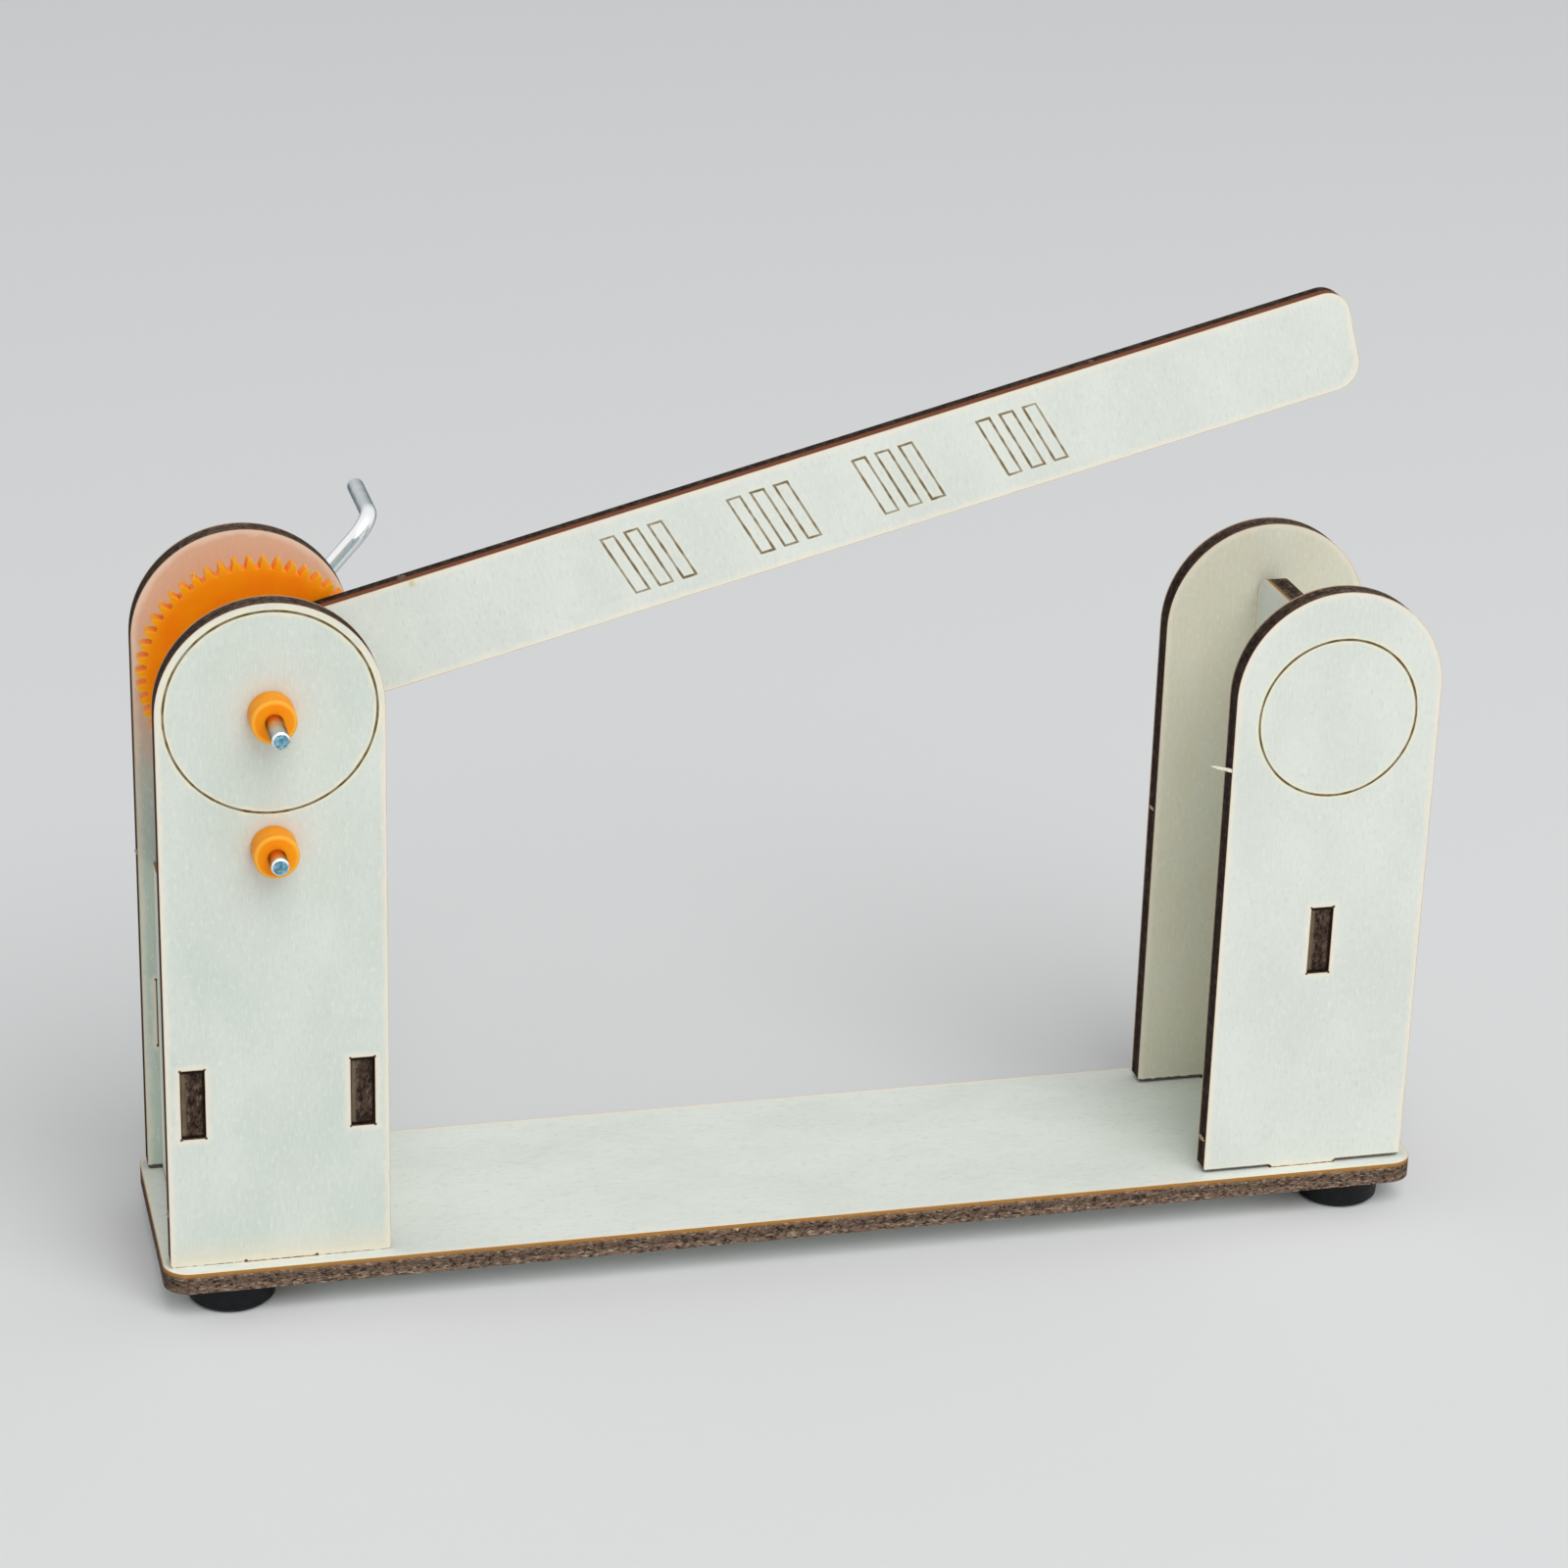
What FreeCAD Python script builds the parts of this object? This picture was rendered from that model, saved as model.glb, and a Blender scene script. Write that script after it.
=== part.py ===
import FreeCAD, Part
import math
import os
import types

import Sketcher

# Hand-cranked model boom barrier of laser-cut plywood.
# Two round-topped panels make the gear tower at the left, two more make the rest post at
# the right. The crank turns a pinion, the pinion turns a large gear, and the gear swings
# the boom. X runs along the base, Y away from the front, Z up. The origin is the middle
# of the base plate's underside.

# Driving sizes in millimetres, degrees and plain counts
DRIVING_SIZES = {
    # sheet material and base
    "ply": 2.5,
    "base_length": 149.0,
    "base_width": 31.0,
    "base_corner": 3.0,
    # tower and post panels
    "panel_margin": 1.9,
    "panel_corner": 0.5,
    "tower_setback": 0.8,
    "tower_width": 24.8,
    "tower_shoulder": 65.8,
    "post_setback": 1.45,
    "post_width": 24.8,
    "post_shoulder": 59.9,
    "post_seat_gap": 0.3,
    # tabs that stand in the base, and the slots around them
    "base_tab_width": 8.0,
    "base_tab_recess": 0.1,
    "base_slot_end_gap": 0.1,
    "base_slot_face_gap": 0.05,
    # cross plates between the panels
    "cross_tab_height": 8.0,
    "cross_tab_recess": 0.2,
    "cross_slot_end_gap": 0.2,
    "cross_slot_face_gap": 0.12,
    "tie_inset": 1.6,
    "tie_height": 38.9,
    "tie_tab_level": 20.05,
    "rest_height": 66.3,
    "rest_tab_level": 29.3,
    "rest_corner": 3.0,
    # engraved rings
    "ring_line": 0.25,
    "ring_depth": 0.15,
    "tower_ring_radius": 11.5,
    "post_ring_radius": 9.5,
    "post_ring_level": 57.1,
    # shafts and fits
    "shaft_diameter": 2.0,
    "shaft_chamfer": 0.2,
    "running_clearance": 0.05,
    "press_interference": 0.01,
    # gears
    "tooth_module": 0.5,
    "pressure_angle": 20.0,
    "gear_teeth": 50,
    "pinion_teeth": 12,
    "tip_shortening": 0.12,
    "tooth_backlash": 0.08,
    "gear_phase": 1.44,
    "gear_width": 2.0,
    "pinion_width": 4.0,
    # boom
    "boom_width": 11.7,
    "boom_reach": 128.8,
    "boom_corner": 3.0,
    "boom_side_gap": 7.6,
    "boom_rest_angle": 15.15,
    # retaining bushes and shaft ends
    "bush_diameter": 5.0,
    "bush_length": 3.0,
    "bush_rim": 0.2,
    "bush_gap": 0.15,
    "boom_shaft_front_end": 5.5,
    "boom_shaft_rear_end": 1.1,
    "crank_shaft_front_end": 2.8,
    # crank, bent from one rod
    "crank_rear_reach": 20.7,
    "crank_throw": 27.4,
    "crank_handle": 13.0,
    "crank_bend": 3.0,
    "crank_rest_angle": 48.4,
    # rubber feet
    "pad_top_diameter": 10.2,
    "pad_bottom_diameter": 9.8,
    "pad_height": 3.3,
    "pad_edge": 0.5,
    "pad_inset_along": 7.9,
    "pad_inset_across": 5.5,
}

# Geometry tolerance when an edge is looked up by its place
NEAR = 0.001
# Each tooth starts this far inside the root circle, so that it joins the gear's disc
TOOTH_ROOTING = 0.15
# Points that carry the curve of one tooth flank
FLANK_POINTS = 3


class Size:
    """A size with its number and the sheet formula that it comes from."""

    def __init__(self, number, formula):
        self.number = number
        self.formula = formula

    def __add__(self, other):
        other = as_size(other)
        return Size(self.number + other.number, f"({self.formula} + {other.formula})")

    def __sub__(self, other):
        other = as_size(other)
        return Size(self.number - other.number, f"({self.formula} - {other.formula})")

    def __mul__(self, other):
        other = as_size(other)
        return Size(self.number * other.number, f"({self.formula} * {other.formula})")

    def __truediv__(self, other):
        other = as_size(other)
        return Size(self.number / other.number, f"({self.formula} / {other.formula})")

    def __neg__(self):
        return Size(-self.number, f"(0 - {self.formula})")


def as_size(value):
    """Let a plain number take part in a formula."""
    if isinstance(value, Size):
        return value
    return Size(value, f"({value})")


document = FreeCAD.newDocument("boom_barrier")


def fill_sheet():
    """Write the driving sizes into the sheet and hand them back as named sizes."""
    sheet = document.addObject("Spreadsheet::Sheet", "Sizes")
    named = {}
    for row, (alias, number) in enumerate(DRIVING_SIZES.items(), start=1):
        sheet.set(f"A{row}", alias)
        sheet.set(f"B{row}", str(number))
        sheet.setAlias(f"B{row}", alias)
        named[alias] = Size(number, f"Sizes.{alias}")
    document.recompute()
    return types.SimpleNamespace(**named)


size = fill_sheet()

# Places that several pieces share
ZERO = as_size(0)
front_face_y = -size.base_width / 2 + size.panel_margin
rear_face_y = size.base_width / 2 - size.panel_margin
inner_gap = rear_face_y - front_face_y - size.ply * 2
tower_x = -size.base_length / 2 + size.tower_setback + size.tower_width / 2
post_x = size.base_length / 2 - size.post_setback - size.post_width / 2
boom_axis_z = size.ply + size.tower_shoulder
shaft_spacing = size.tooth_module * (size.gear_teeth + size.pinion_teeth) / 2
crank_axis_z = boom_axis_z - shaft_spacing
boom_front_y = front_face_y + size.ply + size.boom_side_gap
gear_front_y = boom_front_y + size.ply
shaft_radius = size.shaft_diameter / 2
running_radius = shaft_radius + size.running_clearance
press_radius = shaft_radius - size.press_interference
slot_width = size.ply + size.cross_slot_face_gap * 2
slot_height = size.cross_tab_height + size.cross_slot_end_gap * 2
tie_offset = size.tower_width / 2 - size.tie_inset - slot_width / 2


# Helpers for bodies, sketches and features

def new_body(name, x=ZERO, y=ZERO, z=ZERO):
    """A body of the assembly, with its place bound to the sheet."""
    body = document.addObject("PartDesign::Body", name)
    body.Label = name
    for letter, place in (("x", x), ("y", y), ("z", z)):
        body.setExpression(f"Placement.Base.{letter}", place.formula)
    return body


def turn(body, axis, angle):
    """Turn a body about one of its own axes."""
    body.Placement.Rotation = FreeCAD.Rotation(axis, angle.number)
    body.setExpression("Placement.Rotation.Angle", f"({angle.formula}) * 1 deg")


def origin_item(body, role):
    """One of the planes or axes of the body's own origin."""
    return next(item for item in body.Origin.OriginFeatures if item.Role == role)


def new_sketch(body, plane, name):
    """An empty sketch on one of the body's origin planes."""
    sketch = body.newObject("Sketcher::SketchObject", f"{body.Name}_{name}")
    sketch.AttachmentSupport = [(origin_item(body, plane), "")]
    sketch.MapMode = "FlatFace"
    return sketch


def dimension(sketch, kind, targets, value):
    """Add one dimension and bind it to its formula."""
    index = sketch.addConstraint(Sketcher.Constraint(kind, *targets, value.number))
    sketch.renameConstraint(index, f"size_{index}")
    sketch.setExpression(f"Constraints.size_{index}", value.formula)


def hold_point(sketch, item, point, x, y):
    """Fix a point of the sketch by its two distances from the sketch origin."""
    for kind, axis, place in (("DistanceX", -2, x), ("DistanceY", -1, y)):
        if place is ZERO:
            sketch.addConstraint(Sketcher.Constraint("PointOnObject", item, point, axis))
        else:
            dimension(sketch, kind, (-1, 1, item, point), place)


def vector(corner):
    """The sketch point of a pair of sizes."""
    return FreeCAD.Vector(corner[0].number, corner[1].number, 0)


def arc_between(first, last, middle):
    """The arc that runs anticlockwise from first to last about middle."""
    start = math.atan2(first.y - middle.y, first.x - middle.x)
    end = math.atan2(last.y - middle.y, last.x - middle.x)
    if end <= start:
        end += 2 * math.pi
    circle = Part.Circle(middle, FreeCAD.Vector(0, 0, 1), first.distanceToPoint(middle))
    return Part.ArcOfCircle(circle, start, end)


def draw_outline(sketch, corners, half_circle=None):
    """Close an outline anticlockwise through the corners.

    The side that starts at corner number half_circle is a half circle.
    """
    first_item = sketch.GeometryCount
    count = len(corners)
    for number, corner in enumerate(corners):
        start = vector(corner)
        end = vector(corners[(number + 1) % count])
        if number == half_circle:
            sketch.addGeometry(arc_between(start, end, (start + end) / 2), False)
        else:
            sketch.addGeometry(Part.LineSegment(start, end), False)
    for number, corner in enumerate(corners):
        item = first_item + number
        following = first_item + (number + 1) % count
        sketch.addConstraint(Sketcher.Constraint("Coincident", item, 2, following, 1))
        hold_point(sketch, item, 1, *corner)
    if half_circle is None:
        return
    arc = first_item + half_circle
    upright = corners[half_circle][0] is ZERO
    if upright:
        sketch.addConstraint(Sketcher.Constraint("PointOnObject", arc, 3, -2))
    else:
        dimension(sketch, "DistanceY", (-1, 1, arc, 3), corners[half_circle][1])


def draw_rectangle(sketch, middle_x, middle_y, width, height):
    """A rectangle given by its middle and its two sizes."""
    left = middle_x - width / 2
    right = middle_x + width / 2
    low = middle_y - height / 2
    high = middle_y + height / 2
    draw_outline(sketch, [(left, low), (right, low), (right, high), (left, high)])


def draw_circle(sketch, x, y, radius):
    """A circle given by its middle and its radius."""
    centre = FreeCAD.Vector(x.number, y.number, 0)
    item = sketch.addGeometry(Part.Circle(centre, FreeCAD.Vector(0, 0, 1), radius.number), False)
    hold_point(sketch, item, 3, x, y)
    dimension(sketch, "Radius", (item,), radius)


def pad(body, sketch, length, backwards=False):
    """Thicken a sketch. Backwards turns a pad from an upright front sketch towards +Y."""
    feature = body.newObject("PartDesign::Pad", f"{sketch.Name}_pad")
    feature.Profile = sketch
    feature.Length = length.number
    feature.setExpression("Length", length.formula)
    feature.Reversed = backwards
    document.recompute()
    return feature


def lines_through(shape, direction, places):
    """Names of the straight edges along a direction that pass through one of the places."""
    names = []
    for number, edge in enumerate(shape.Edges, start=1):
        if edge.Curve.TypeId != "Part::GeomLine":
            continue
        if abs(abs(edge.tangentAt(edge.FirstParameter).dot(direction)) - 1) > NEAR:
            continue
        middle = edge.CenterOfMass
        for place in places:
            offset = place - middle
            if (offset - direction * offset.dot(direction)).Length < NEAR:
                names.append(f"Edge{number}")
    return names


def circles_at(shape, places, radius):
    """Names of the full circular edges of one radius about the places."""
    names = []
    for number, edge in enumerate(shape.Edges, start=1):
        if edge.Curve.TypeId != "Part::GeomCircle" or not edge.Closed:
            continue
        if abs(edge.Curve.Radius - radius) > NEAR:
            continue
        if any(edge.Curve.Center.distanceToPoint(place) < NEAR for place in places):
            names.append(f"Edge{number}")
    return names


def dress(body, kind, base, edges, property_name, amount):
    """Fillet or chamfer the named edges of a feature."""
    feature = body.newObject(f"PartDesign::{kind}", f"{body.Name}_{kind.lower()}")
    feature.Base = (base, edges)
    setattr(feature, property_name, amount.number)
    feature.setExpression(property_name, amount.formula)
    document.recompute()
    return feature


# Base plate

def make_base():
    """The long plate with rounded corners and a slot for each panel's tab."""
    body = new_body("base_plate")
    sketch = new_sketch(body, "XY_Plane", "outline")
    draw_rectangle(sketch, ZERO, ZERO, size.base_length, size.base_width)
    tab_length = size.base_tab_width + size.base_slot_end_gap * 2
    tab_room = size.ply + size.base_slot_face_gap * 2
    for x in (tower_x, post_x):
        for y in (front_face_y + size.ply / 2, rear_face_y - size.ply / 2):
            draw_rectangle(sketch, x, y, tab_length, tab_room)
    plate = pad(body, sketch, size.ply)
    half_length = size.base_length.number / 2
    half_width = size.base_width.number / 2
    corners = [
        FreeCAD.Vector(side * half_length, end * half_width, 0)
        for side in (-1, 1)
        for end in (-1, 1)
    ]
    upright = FreeCAD.Vector(0, 0, 1)
    corner_edges = lines_through(plate.Shape, upright, corners)
    dress(body, "Fillet", plate, corner_edges, "Radius", size.base_corner)


# Tower and post panels

def make_panel(name, x, outer_y, width, shoulder, seat, slots, holes, ring=None):
    """A round-topped panel on the base, with its front face at outer_y.

    seat is the gap left under its lower edge beside the tab, slots holds the middles of the
    cross plates' slots, holes the shaft holes' middles, and ring the level and radius of the
    engraved ring.
    """
    body = new_body(name, x, outer_y, size.ply)
    sketch = new_sketch(body, "XZ_Plane", "outline")
    half_tab = size.base_tab_width / 2
    tab_end = size.base_tab_recess - size.ply
    corners = [
        (-width / 2, seat),
        (-half_tab, seat),
        (-half_tab, tab_end),
        (half_tab, tab_end),
        (half_tab, seat),
        (width / 2, seat),
        (width / 2, shoulder),
        (-width / 2, shoulder),
    ]
    draw_outline(sketch, corners, half_circle=6)
    for slot_x, slot_z in slots:
        draw_rectangle(sketch, slot_x, slot_z, slot_width, slot_height)
    for hole_z in holes:
        draw_circle(sketch, ZERO, hole_z, running_radius)
    sheet = pad(body, sketch, size.ply, backwards=True)
    along_y = FreeCAD.Vector(0, 1, 0)
    corners = [FreeCAD.Vector(side * width.number / 2, 0, seat.number) for side in (-1, 1)]
    corner_edges = lines_through(sheet.Shape, along_y, corners)
    rounded = dress(body, "Fillet", sheet, corner_edges, "Radius", size.panel_corner)
    if ring:
        engrave_ring(body, rounded, *ring)


def engrave_ring(body, panel, level, radius):
    """Cut the fine ring into the front face."""
    sketch = new_sketch(body, "XZ_Plane", "ring")
    draw_circle(sketch, ZERO, level, radius + size.ring_line / 2)
    draw_circle(sketch, ZERO, level, radius - size.ring_line / 2)
    groove = body.newObject("PartDesign::Pocket", f"{body.Name}_groove")
    groove.Profile = sketch
    groove.Length = size.ring_depth.number
    groove.setExpression("Length", size.ring_depth.formula)
    document.recompute()
    if groove.Shape.Volume >= panel.Shape.Volume:
        raise RuntimeError(f"the ring on {body.Name} cuts nothing")


def make_panels():
    """Front and rear panels of the tower and of the post."""
    tie_slots = [(side, size.tie_tab_level) for side in (-tie_offset, tie_offset)]
    shaft_holes = [size.tower_shoulder, size.tower_shoulder - shaft_spacing]
    rest_slot = [(ZERO, size.rest_tab_level)]
    rear_panel_y = rear_face_y - size.ply
    tower = (size.tower_width, size.tower_shoulder, ZERO, tie_slots, shaft_holes)
    post = (size.post_width, size.post_shoulder, size.post_seat_gap, rest_slot, [])
    tower_ring = (size.tower_shoulder, size.tower_ring_radius)
    post_ring = (size.post_ring_level, size.post_ring_radius)
    make_panel("tower_front_panel", tower_x, front_face_y, *tower, ring=tower_ring)
    make_panel("tower_rear_panel", tower_x, rear_panel_y, *tower)
    make_panel("post_front_panel", post_x, front_face_y, *post, ring=post_ring)
    make_panel("post_rear_panel", post_x, rear_panel_y, *post)


# Cross plates between the panels

def make_cross_plate(name, middle_x, height, tab_level, corner=None):
    """An upright plate across the gap, with a tab into each panel's slot."""
    body = new_body(name, middle_x - size.ply / 2, front_face_y + size.ply, size.ply)
    sketch = new_sketch(body, "YZ_Plane", "outline")
    tab = size.ply - size.cross_tab_recess
    low = tab_level - size.cross_tab_height / 2
    high = tab_level + size.cross_tab_height / 2
    corners = [
        (ZERO, ZERO),
        (inner_gap, ZERO),
        (inner_gap, low),
        (inner_gap + tab, low),
        (inner_gap + tab, high),
        (inner_gap, high),
        (inner_gap, height),
        (ZERO, height),
        (ZERO, high),
        (-tab, high),
        (-tab, low),
        (ZERO, low),
    ]
    draw_outline(sketch, corners)
    plate = pad(body, sketch, size.ply)
    if corner:
        along_x = FreeCAD.Vector(1, 0, 0)
        tops = [
            FreeCAD.Vector(0, depth, height.number)
            for depth in (0, inner_gap.number)
        ]
        top_edges = lines_through(plate.Shape, along_x, tops)
        dress(body, "Fillet", plate, top_edges, "Radius", corner)


def make_cross_plates():
    """Two ties low in the tower, and the tall plate in the post that the boom rests on."""
    tie = (size.tie_height, size.tie_tab_level)
    make_cross_plate("tower_tie_left", tower_x - tie_offset, *tie)
    make_cross_plate("tower_tie_right", tower_x + tie_offset, *tie)
    make_cross_plate(
        "post_rest_plate", post_x, size.rest_height, size.rest_tab_level, size.rest_corner
    )


# Boom

def make_boom():
    """The arm, pressed on its shaft, raised to the angle at which it stands."""
    body = new_body("boom_arm", tower_x, boom_front_y, boom_axis_z)
    turn(body, FreeCAD.Vector(0, -1, 0), size.boom_rest_angle)
    sketch = new_sketch(body, "XZ_Plane", "outline")
    half = size.boom_width / 2
    corners = [
        (ZERO, -half),
        (size.boom_reach, -half),
        (size.boom_reach, half),
        (ZERO, half),
    ]
    draw_outline(sketch, corners, half_circle=3)
    draw_circle(sketch, ZERO, ZERO, press_radius)
    arm = pad(body, sketch, size.ply, backwards=True)
    along_y = FreeCAD.Vector(0, 1, 0)
    ends = [
        FreeCAD.Vector(size.boom_reach.number, 0, side * half.number)
        for side in (-1, 1)
    ]
    end_edges = lines_through(arm.Shape, along_y, ends)
    dress(body, "Fillet", arm, end_edges, "Radius", size.boom_corner)


# Gears with involute teeth

def involute(angle):
    """The involute function of an angle in radians."""
    return math.tan(angle) - angle


def flank_points(teeth, start_radius, tip_radius):
    """Polar points of one flank from its foot to the tip, as angle from the tooth's middle."""
    pitch_radius = size.tooth_module.number * teeth / 2
    pressure = math.radians(size.pressure_angle.number)
    base_radius = pitch_radius * math.cos(pressure)
    thinning = size.tooth_backlash.number / 2 / pitch_radius
    half_at_pitch = math.pi / (2 * teeth) - thinning
    first_radius = max(start_radius, base_radius)
    points = []
    for step in range(FLANK_POINTS):
        radius = first_radius + (tip_radius - first_radius) * step / (FLANK_POINTS - 1)
        turned = math.acos(min(1, base_radius / radius))
        half = half_at_pitch + involute(pressure) - involute(turned)
        points.append((radius, half))
    return points


def draw_tooth(sketch, teeth, root_radius, tip_radius, middle):
    """One tooth: a straight foot, two involute flanks and a narrow flat tip."""
    flank = flank_points(teeth, root_radius, tip_radius)

    def at(radius, turned):
        return FreeCAD.Vector(radius * math.cos(turned), radius * math.sin(turned), 0)

    foot_radius = root_radius - TOOTH_ROOTING
    foot_half = flank[0][1]
    feet = [at(foot_radius, middle + side * foot_half) for side in (-1, 1)]
    right = [at(radius, middle - half) for radius, half in flank]
    left = [at(radius, middle + half) for radius, half in flank]
    curves = []
    for side in (right, left):
        curve = Part.BSplineCurve()
        curve.interpolate(side)
        curves.append(curve)
    tip = Part.LineSegment(right[-1], left[-1])
    outline = [
        Part.LineSegment(feet[0], right[0]),
        curves[0],
        tip,
        curves[1],
        Part.LineSegment(left[0], feet[1]),
        Part.LineSegment(feet[1], feet[0]),
    ]
    for item in outline:
        number = sketch.addGeometry(item, False)
        sketch.addConstraint(Sketcher.Constraint("Block", number))


def make_gear(name, front_y, axis_z, teeth, width, shortening, middle):
    """A spur gear on a shaft along Y, with one tooth drawn and repeated round its disc."""
    pitch_radius = size.tooth_module * teeth / 2
    root_radius = pitch_radius - size.tooth_module * 1.25
    tip_radius = pitch_radius + size.tooth_module - shortening
    body = new_body(name, tower_x, front_y, axis_z)
    disc_sketch = new_sketch(body, "XZ_Plane", "disc")
    draw_circle(disc_sketch, ZERO, ZERO, root_radius)
    draw_circle(disc_sketch, ZERO, ZERO, press_radius)
    pad(body, disc_sketch, width, backwards=True)
    tooth_sketch = new_sketch(body, "XZ_Plane", "tooth")
    draw_tooth(tooth_sketch, teeth.number, root_radius.number, tip_radius.number, middle)
    tooth = pad(body, tooth_sketch, width, backwards=True)
    ring = body.newObject("PartDesign::PolarPattern", f"{name}_teeth")
    ring.Originals = [tooth]
    ring.Axis = (origin_item(body, "Y_Axis"), [""])
    ring.Angle = 360
    ring.Occurrences = int(teeth.number)
    ring.setExpression("Occurrences", teeth.formula)
    body.Tip = ring
    document.recompute()


def make_gears():
    """The large gear beside the boom and the pinion that drives it, in mesh."""
    phase = math.radians(size.gear_phase.number)
    ratio = size.gear_teeth.number / size.pinion_teeth.number
    half_pitch = math.pi / size.pinion_teeth.number
    gear_middle = -math.pi / 2 + phase
    pinion_middle = math.pi / 2 - phase * ratio + half_pitch
    make_gear(
        "boom_gear", gear_front_y, boom_axis_z,
        size.gear_teeth, size.gear_width, size.tip_shortening, gear_middle,
    )
    pinion_front_y = gear_front_y + (size.gear_width - size.pinion_width) / 2
    make_gear(
        "crank_pinion", pinion_front_y, crank_axis_z,
        size.pinion_teeth, size.pinion_width, ZERO, pinion_middle,
    )


# Shafts

def make_boom_shaft():
    """A straight steel pin through both tower panels."""
    outside = size.bush_gap + size.bush_length
    front_y = front_face_y - outside - size.boom_shaft_front_end
    rear_y = rear_face_y + outside + size.boom_shaft_rear_end
    length = rear_y - front_y
    body = new_body("boom_shaft", tower_x, front_y, boom_axis_z)
    sketch = new_sketch(body, "XZ_Plane", "section")
    draw_circle(sketch, ZERO, ZERO, shaft_radius)
    pin = pad(body, sketch, length, backwards=True)
    ends = [FreeCAD.Vector(0, y, 0) for y in (0, length.number)]
    rims = circles_at(pin.Shape, ends, shaft_radius.number)
    dress(body, "Chamfer", pin, rims, "Size", size.shaft_chamfer)


def draw_crank_path(sketch, arm_y):
    """Middle line of the bent rod: shaft, arm and handle with two round bends."""
    bend = size.crank_bend
    throw = size.crank_throw
    points = [
        (ZERO, ZERO),
        (arm_y - bend, ZERO),
        (arm_y, bend),
        (arm_y, throw - bend),
        (arm_y + bend, throw),
        (arm_y + size.crank_handle, throw),
    ]
    first_bend_middle = (arm_y - bend, bend)
    second_bend_middle = (arm_y + bend, throw - bend)
    places = [vector(point) for point in points]
    lower = arc_between(places[1], places[2], vector(first_bend_middle))
    upper = arc_between(places[4], places[3], vector(second_bend_middle))
    path = [
        Part.LineSegment(places[0], places[1]),
        lower,
        Part.LineSegment(places[2], places[3]),
        upper,
        Part.LineSegment(places[4], places[5]),
    ]
    for item in path:
        sketch.addGeometry(item, False)
    joins = [(0, 2, 1, 1), (1, 2, 2, 1), (2, 2, 3, 2), (3, 1, 4, 1)]
    for join in joins:
        sketch.addConstraint(Sketcher.Constraint("Coincident", *join))
    for line, start in ((0, 0), (2, 2), (4, 4)):
        hold_point(sketch, line, 1, *points[start])
        hold_point(sketch, line, 2, *points[start + 1])
    for arc, middle in ((1, first_bend_middle), (3, second_bend_middle)):
        dimension(sketch, "DistanceX", (-1, 1, arc, 3), middle[0])


def make_crank():
    """The crank: shaft, arm and handle bent from one steel rod."""
    outside = size.bush_gap + size.bush_length
    front_y = front_face_y - outside - size.crank_shaft_front_end
    arm_y = rear_face_y + size.crank_rear_reach - front_y
    body = new_body("crank_rod", tower_x, front_y, crank_axis_z)
    turn(body, FreeCAD.Vector(0, 1, 0), as_size(90) - size.crank_rest_angle)
    path = new_sketch(body, "YZ_Plane", "path")
    draw_crank_path(path, arm_y)
    section = new_sketch(body, "XZ_Plane", "section")
    draw_circle(section, ZERO, ZERO, shaft_radius)
    document.recompute()
    rod = body.newObject("PartDesign::AdditivePipe", "crank_rod_sweep")
    rod.Profile = section
    rod.Spine = path
    document.recompute()
    ends = [
        FreeCAD.Vector(0, 0, 0),
        FreeCAD.Vector(0, arm_y.number + size.crank_handle.number, size.crank_throw.number),
    ]
    rims = circles_at(rod.Shape, ends, shaft_radius.number)
    dress(body, "Chamfer", rod, rims, "Size", size.shaft_chamfer)


# Retaining bushes

def make_bush(name, panel_y, axis_z, outwards):
    """A plastic collar pressed on a shaft just outside a panel, its outer rim broken."""
    body = new_body(name, tower_x, panel_y + size.bush_gap * outwards, axis_z)
    sketch = new_sketch(body, "XZ_Plane", "section")
    draw_circle(sketch, ZERO, ZERO, size.bush_diameter / 2)
    draw_circle(sketch, ZERO, ZERO, press_radius)
    collar = pad(body, sketch, size.bush_length, backwards=outwards > 0)
    outer_end = [FreeCAD.Vector(0, outwards * size.bush_length.number, 0)]
    rim = circles_at(collar.Shape, outer_end, size.bush_diameter.number / 2)
    dress(body, "Chamfer", collar, rim, "Size", size.bush_rim)


def make_bushes():
    """One collar at each end of both shafts."""
    for shaft, axis_z in (("boom", boom_axis_z), ("crank", crank_axis_z)):
        make_bush(f"{shaft}_bush_front", front_face_y, axis_z, -1)
        make_bush(f"{shaft}_bush_rear", rear_face_y, axis_z, 1)


# Rubber feet

def make_rubber_foot(name, x, y):
    """A low tapered pad stuck under the base."""
    body = new_body(name, x, y)
    sketch = new_sketch(body, "XZ_Plane", "section")
    corners = [
        (ZERO, -size.pad_height),
        (size.pad_bottom_diameter / 2, -size.pad_height),
        (size.pad_top_diameter / 2, ZERO),
        (ZERO, ZERO),
    ]
    draw_outline(sketch, corners)
    document.recompute()
    turned = body.newObject("PartDesign::Revolution", f"{name}_turned")
    turned.Profile = sketch
    turned.ReferenceAxis = (sketch, ["V_Axis"])
    turned.Angle = 360
    document.recompute()
    underside = [FreeCAD.Vector(0, 0, -size.pad_height.number)]
    rim = circles_at(turned.Shape, underside, size.pad_bottom_diameter.number / 2)
    dress(body, "Chamfer", turned, rim, "Size", size.pad_edge)


def make_rubber_feet():
    """One foot near each corner of the base."""
    across = size.base_width / 2 - size.pad_inset_across
    along = size.base_length / 2 - size.pad_inset_along
    for side, x in (("left", -along), ("right", along)):
        for end, y in (("front", -across), ("rear", across)):
            make_rubber_foot(f"rubber_foot_{side}_{end}", x, y)


# Checks and output

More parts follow.
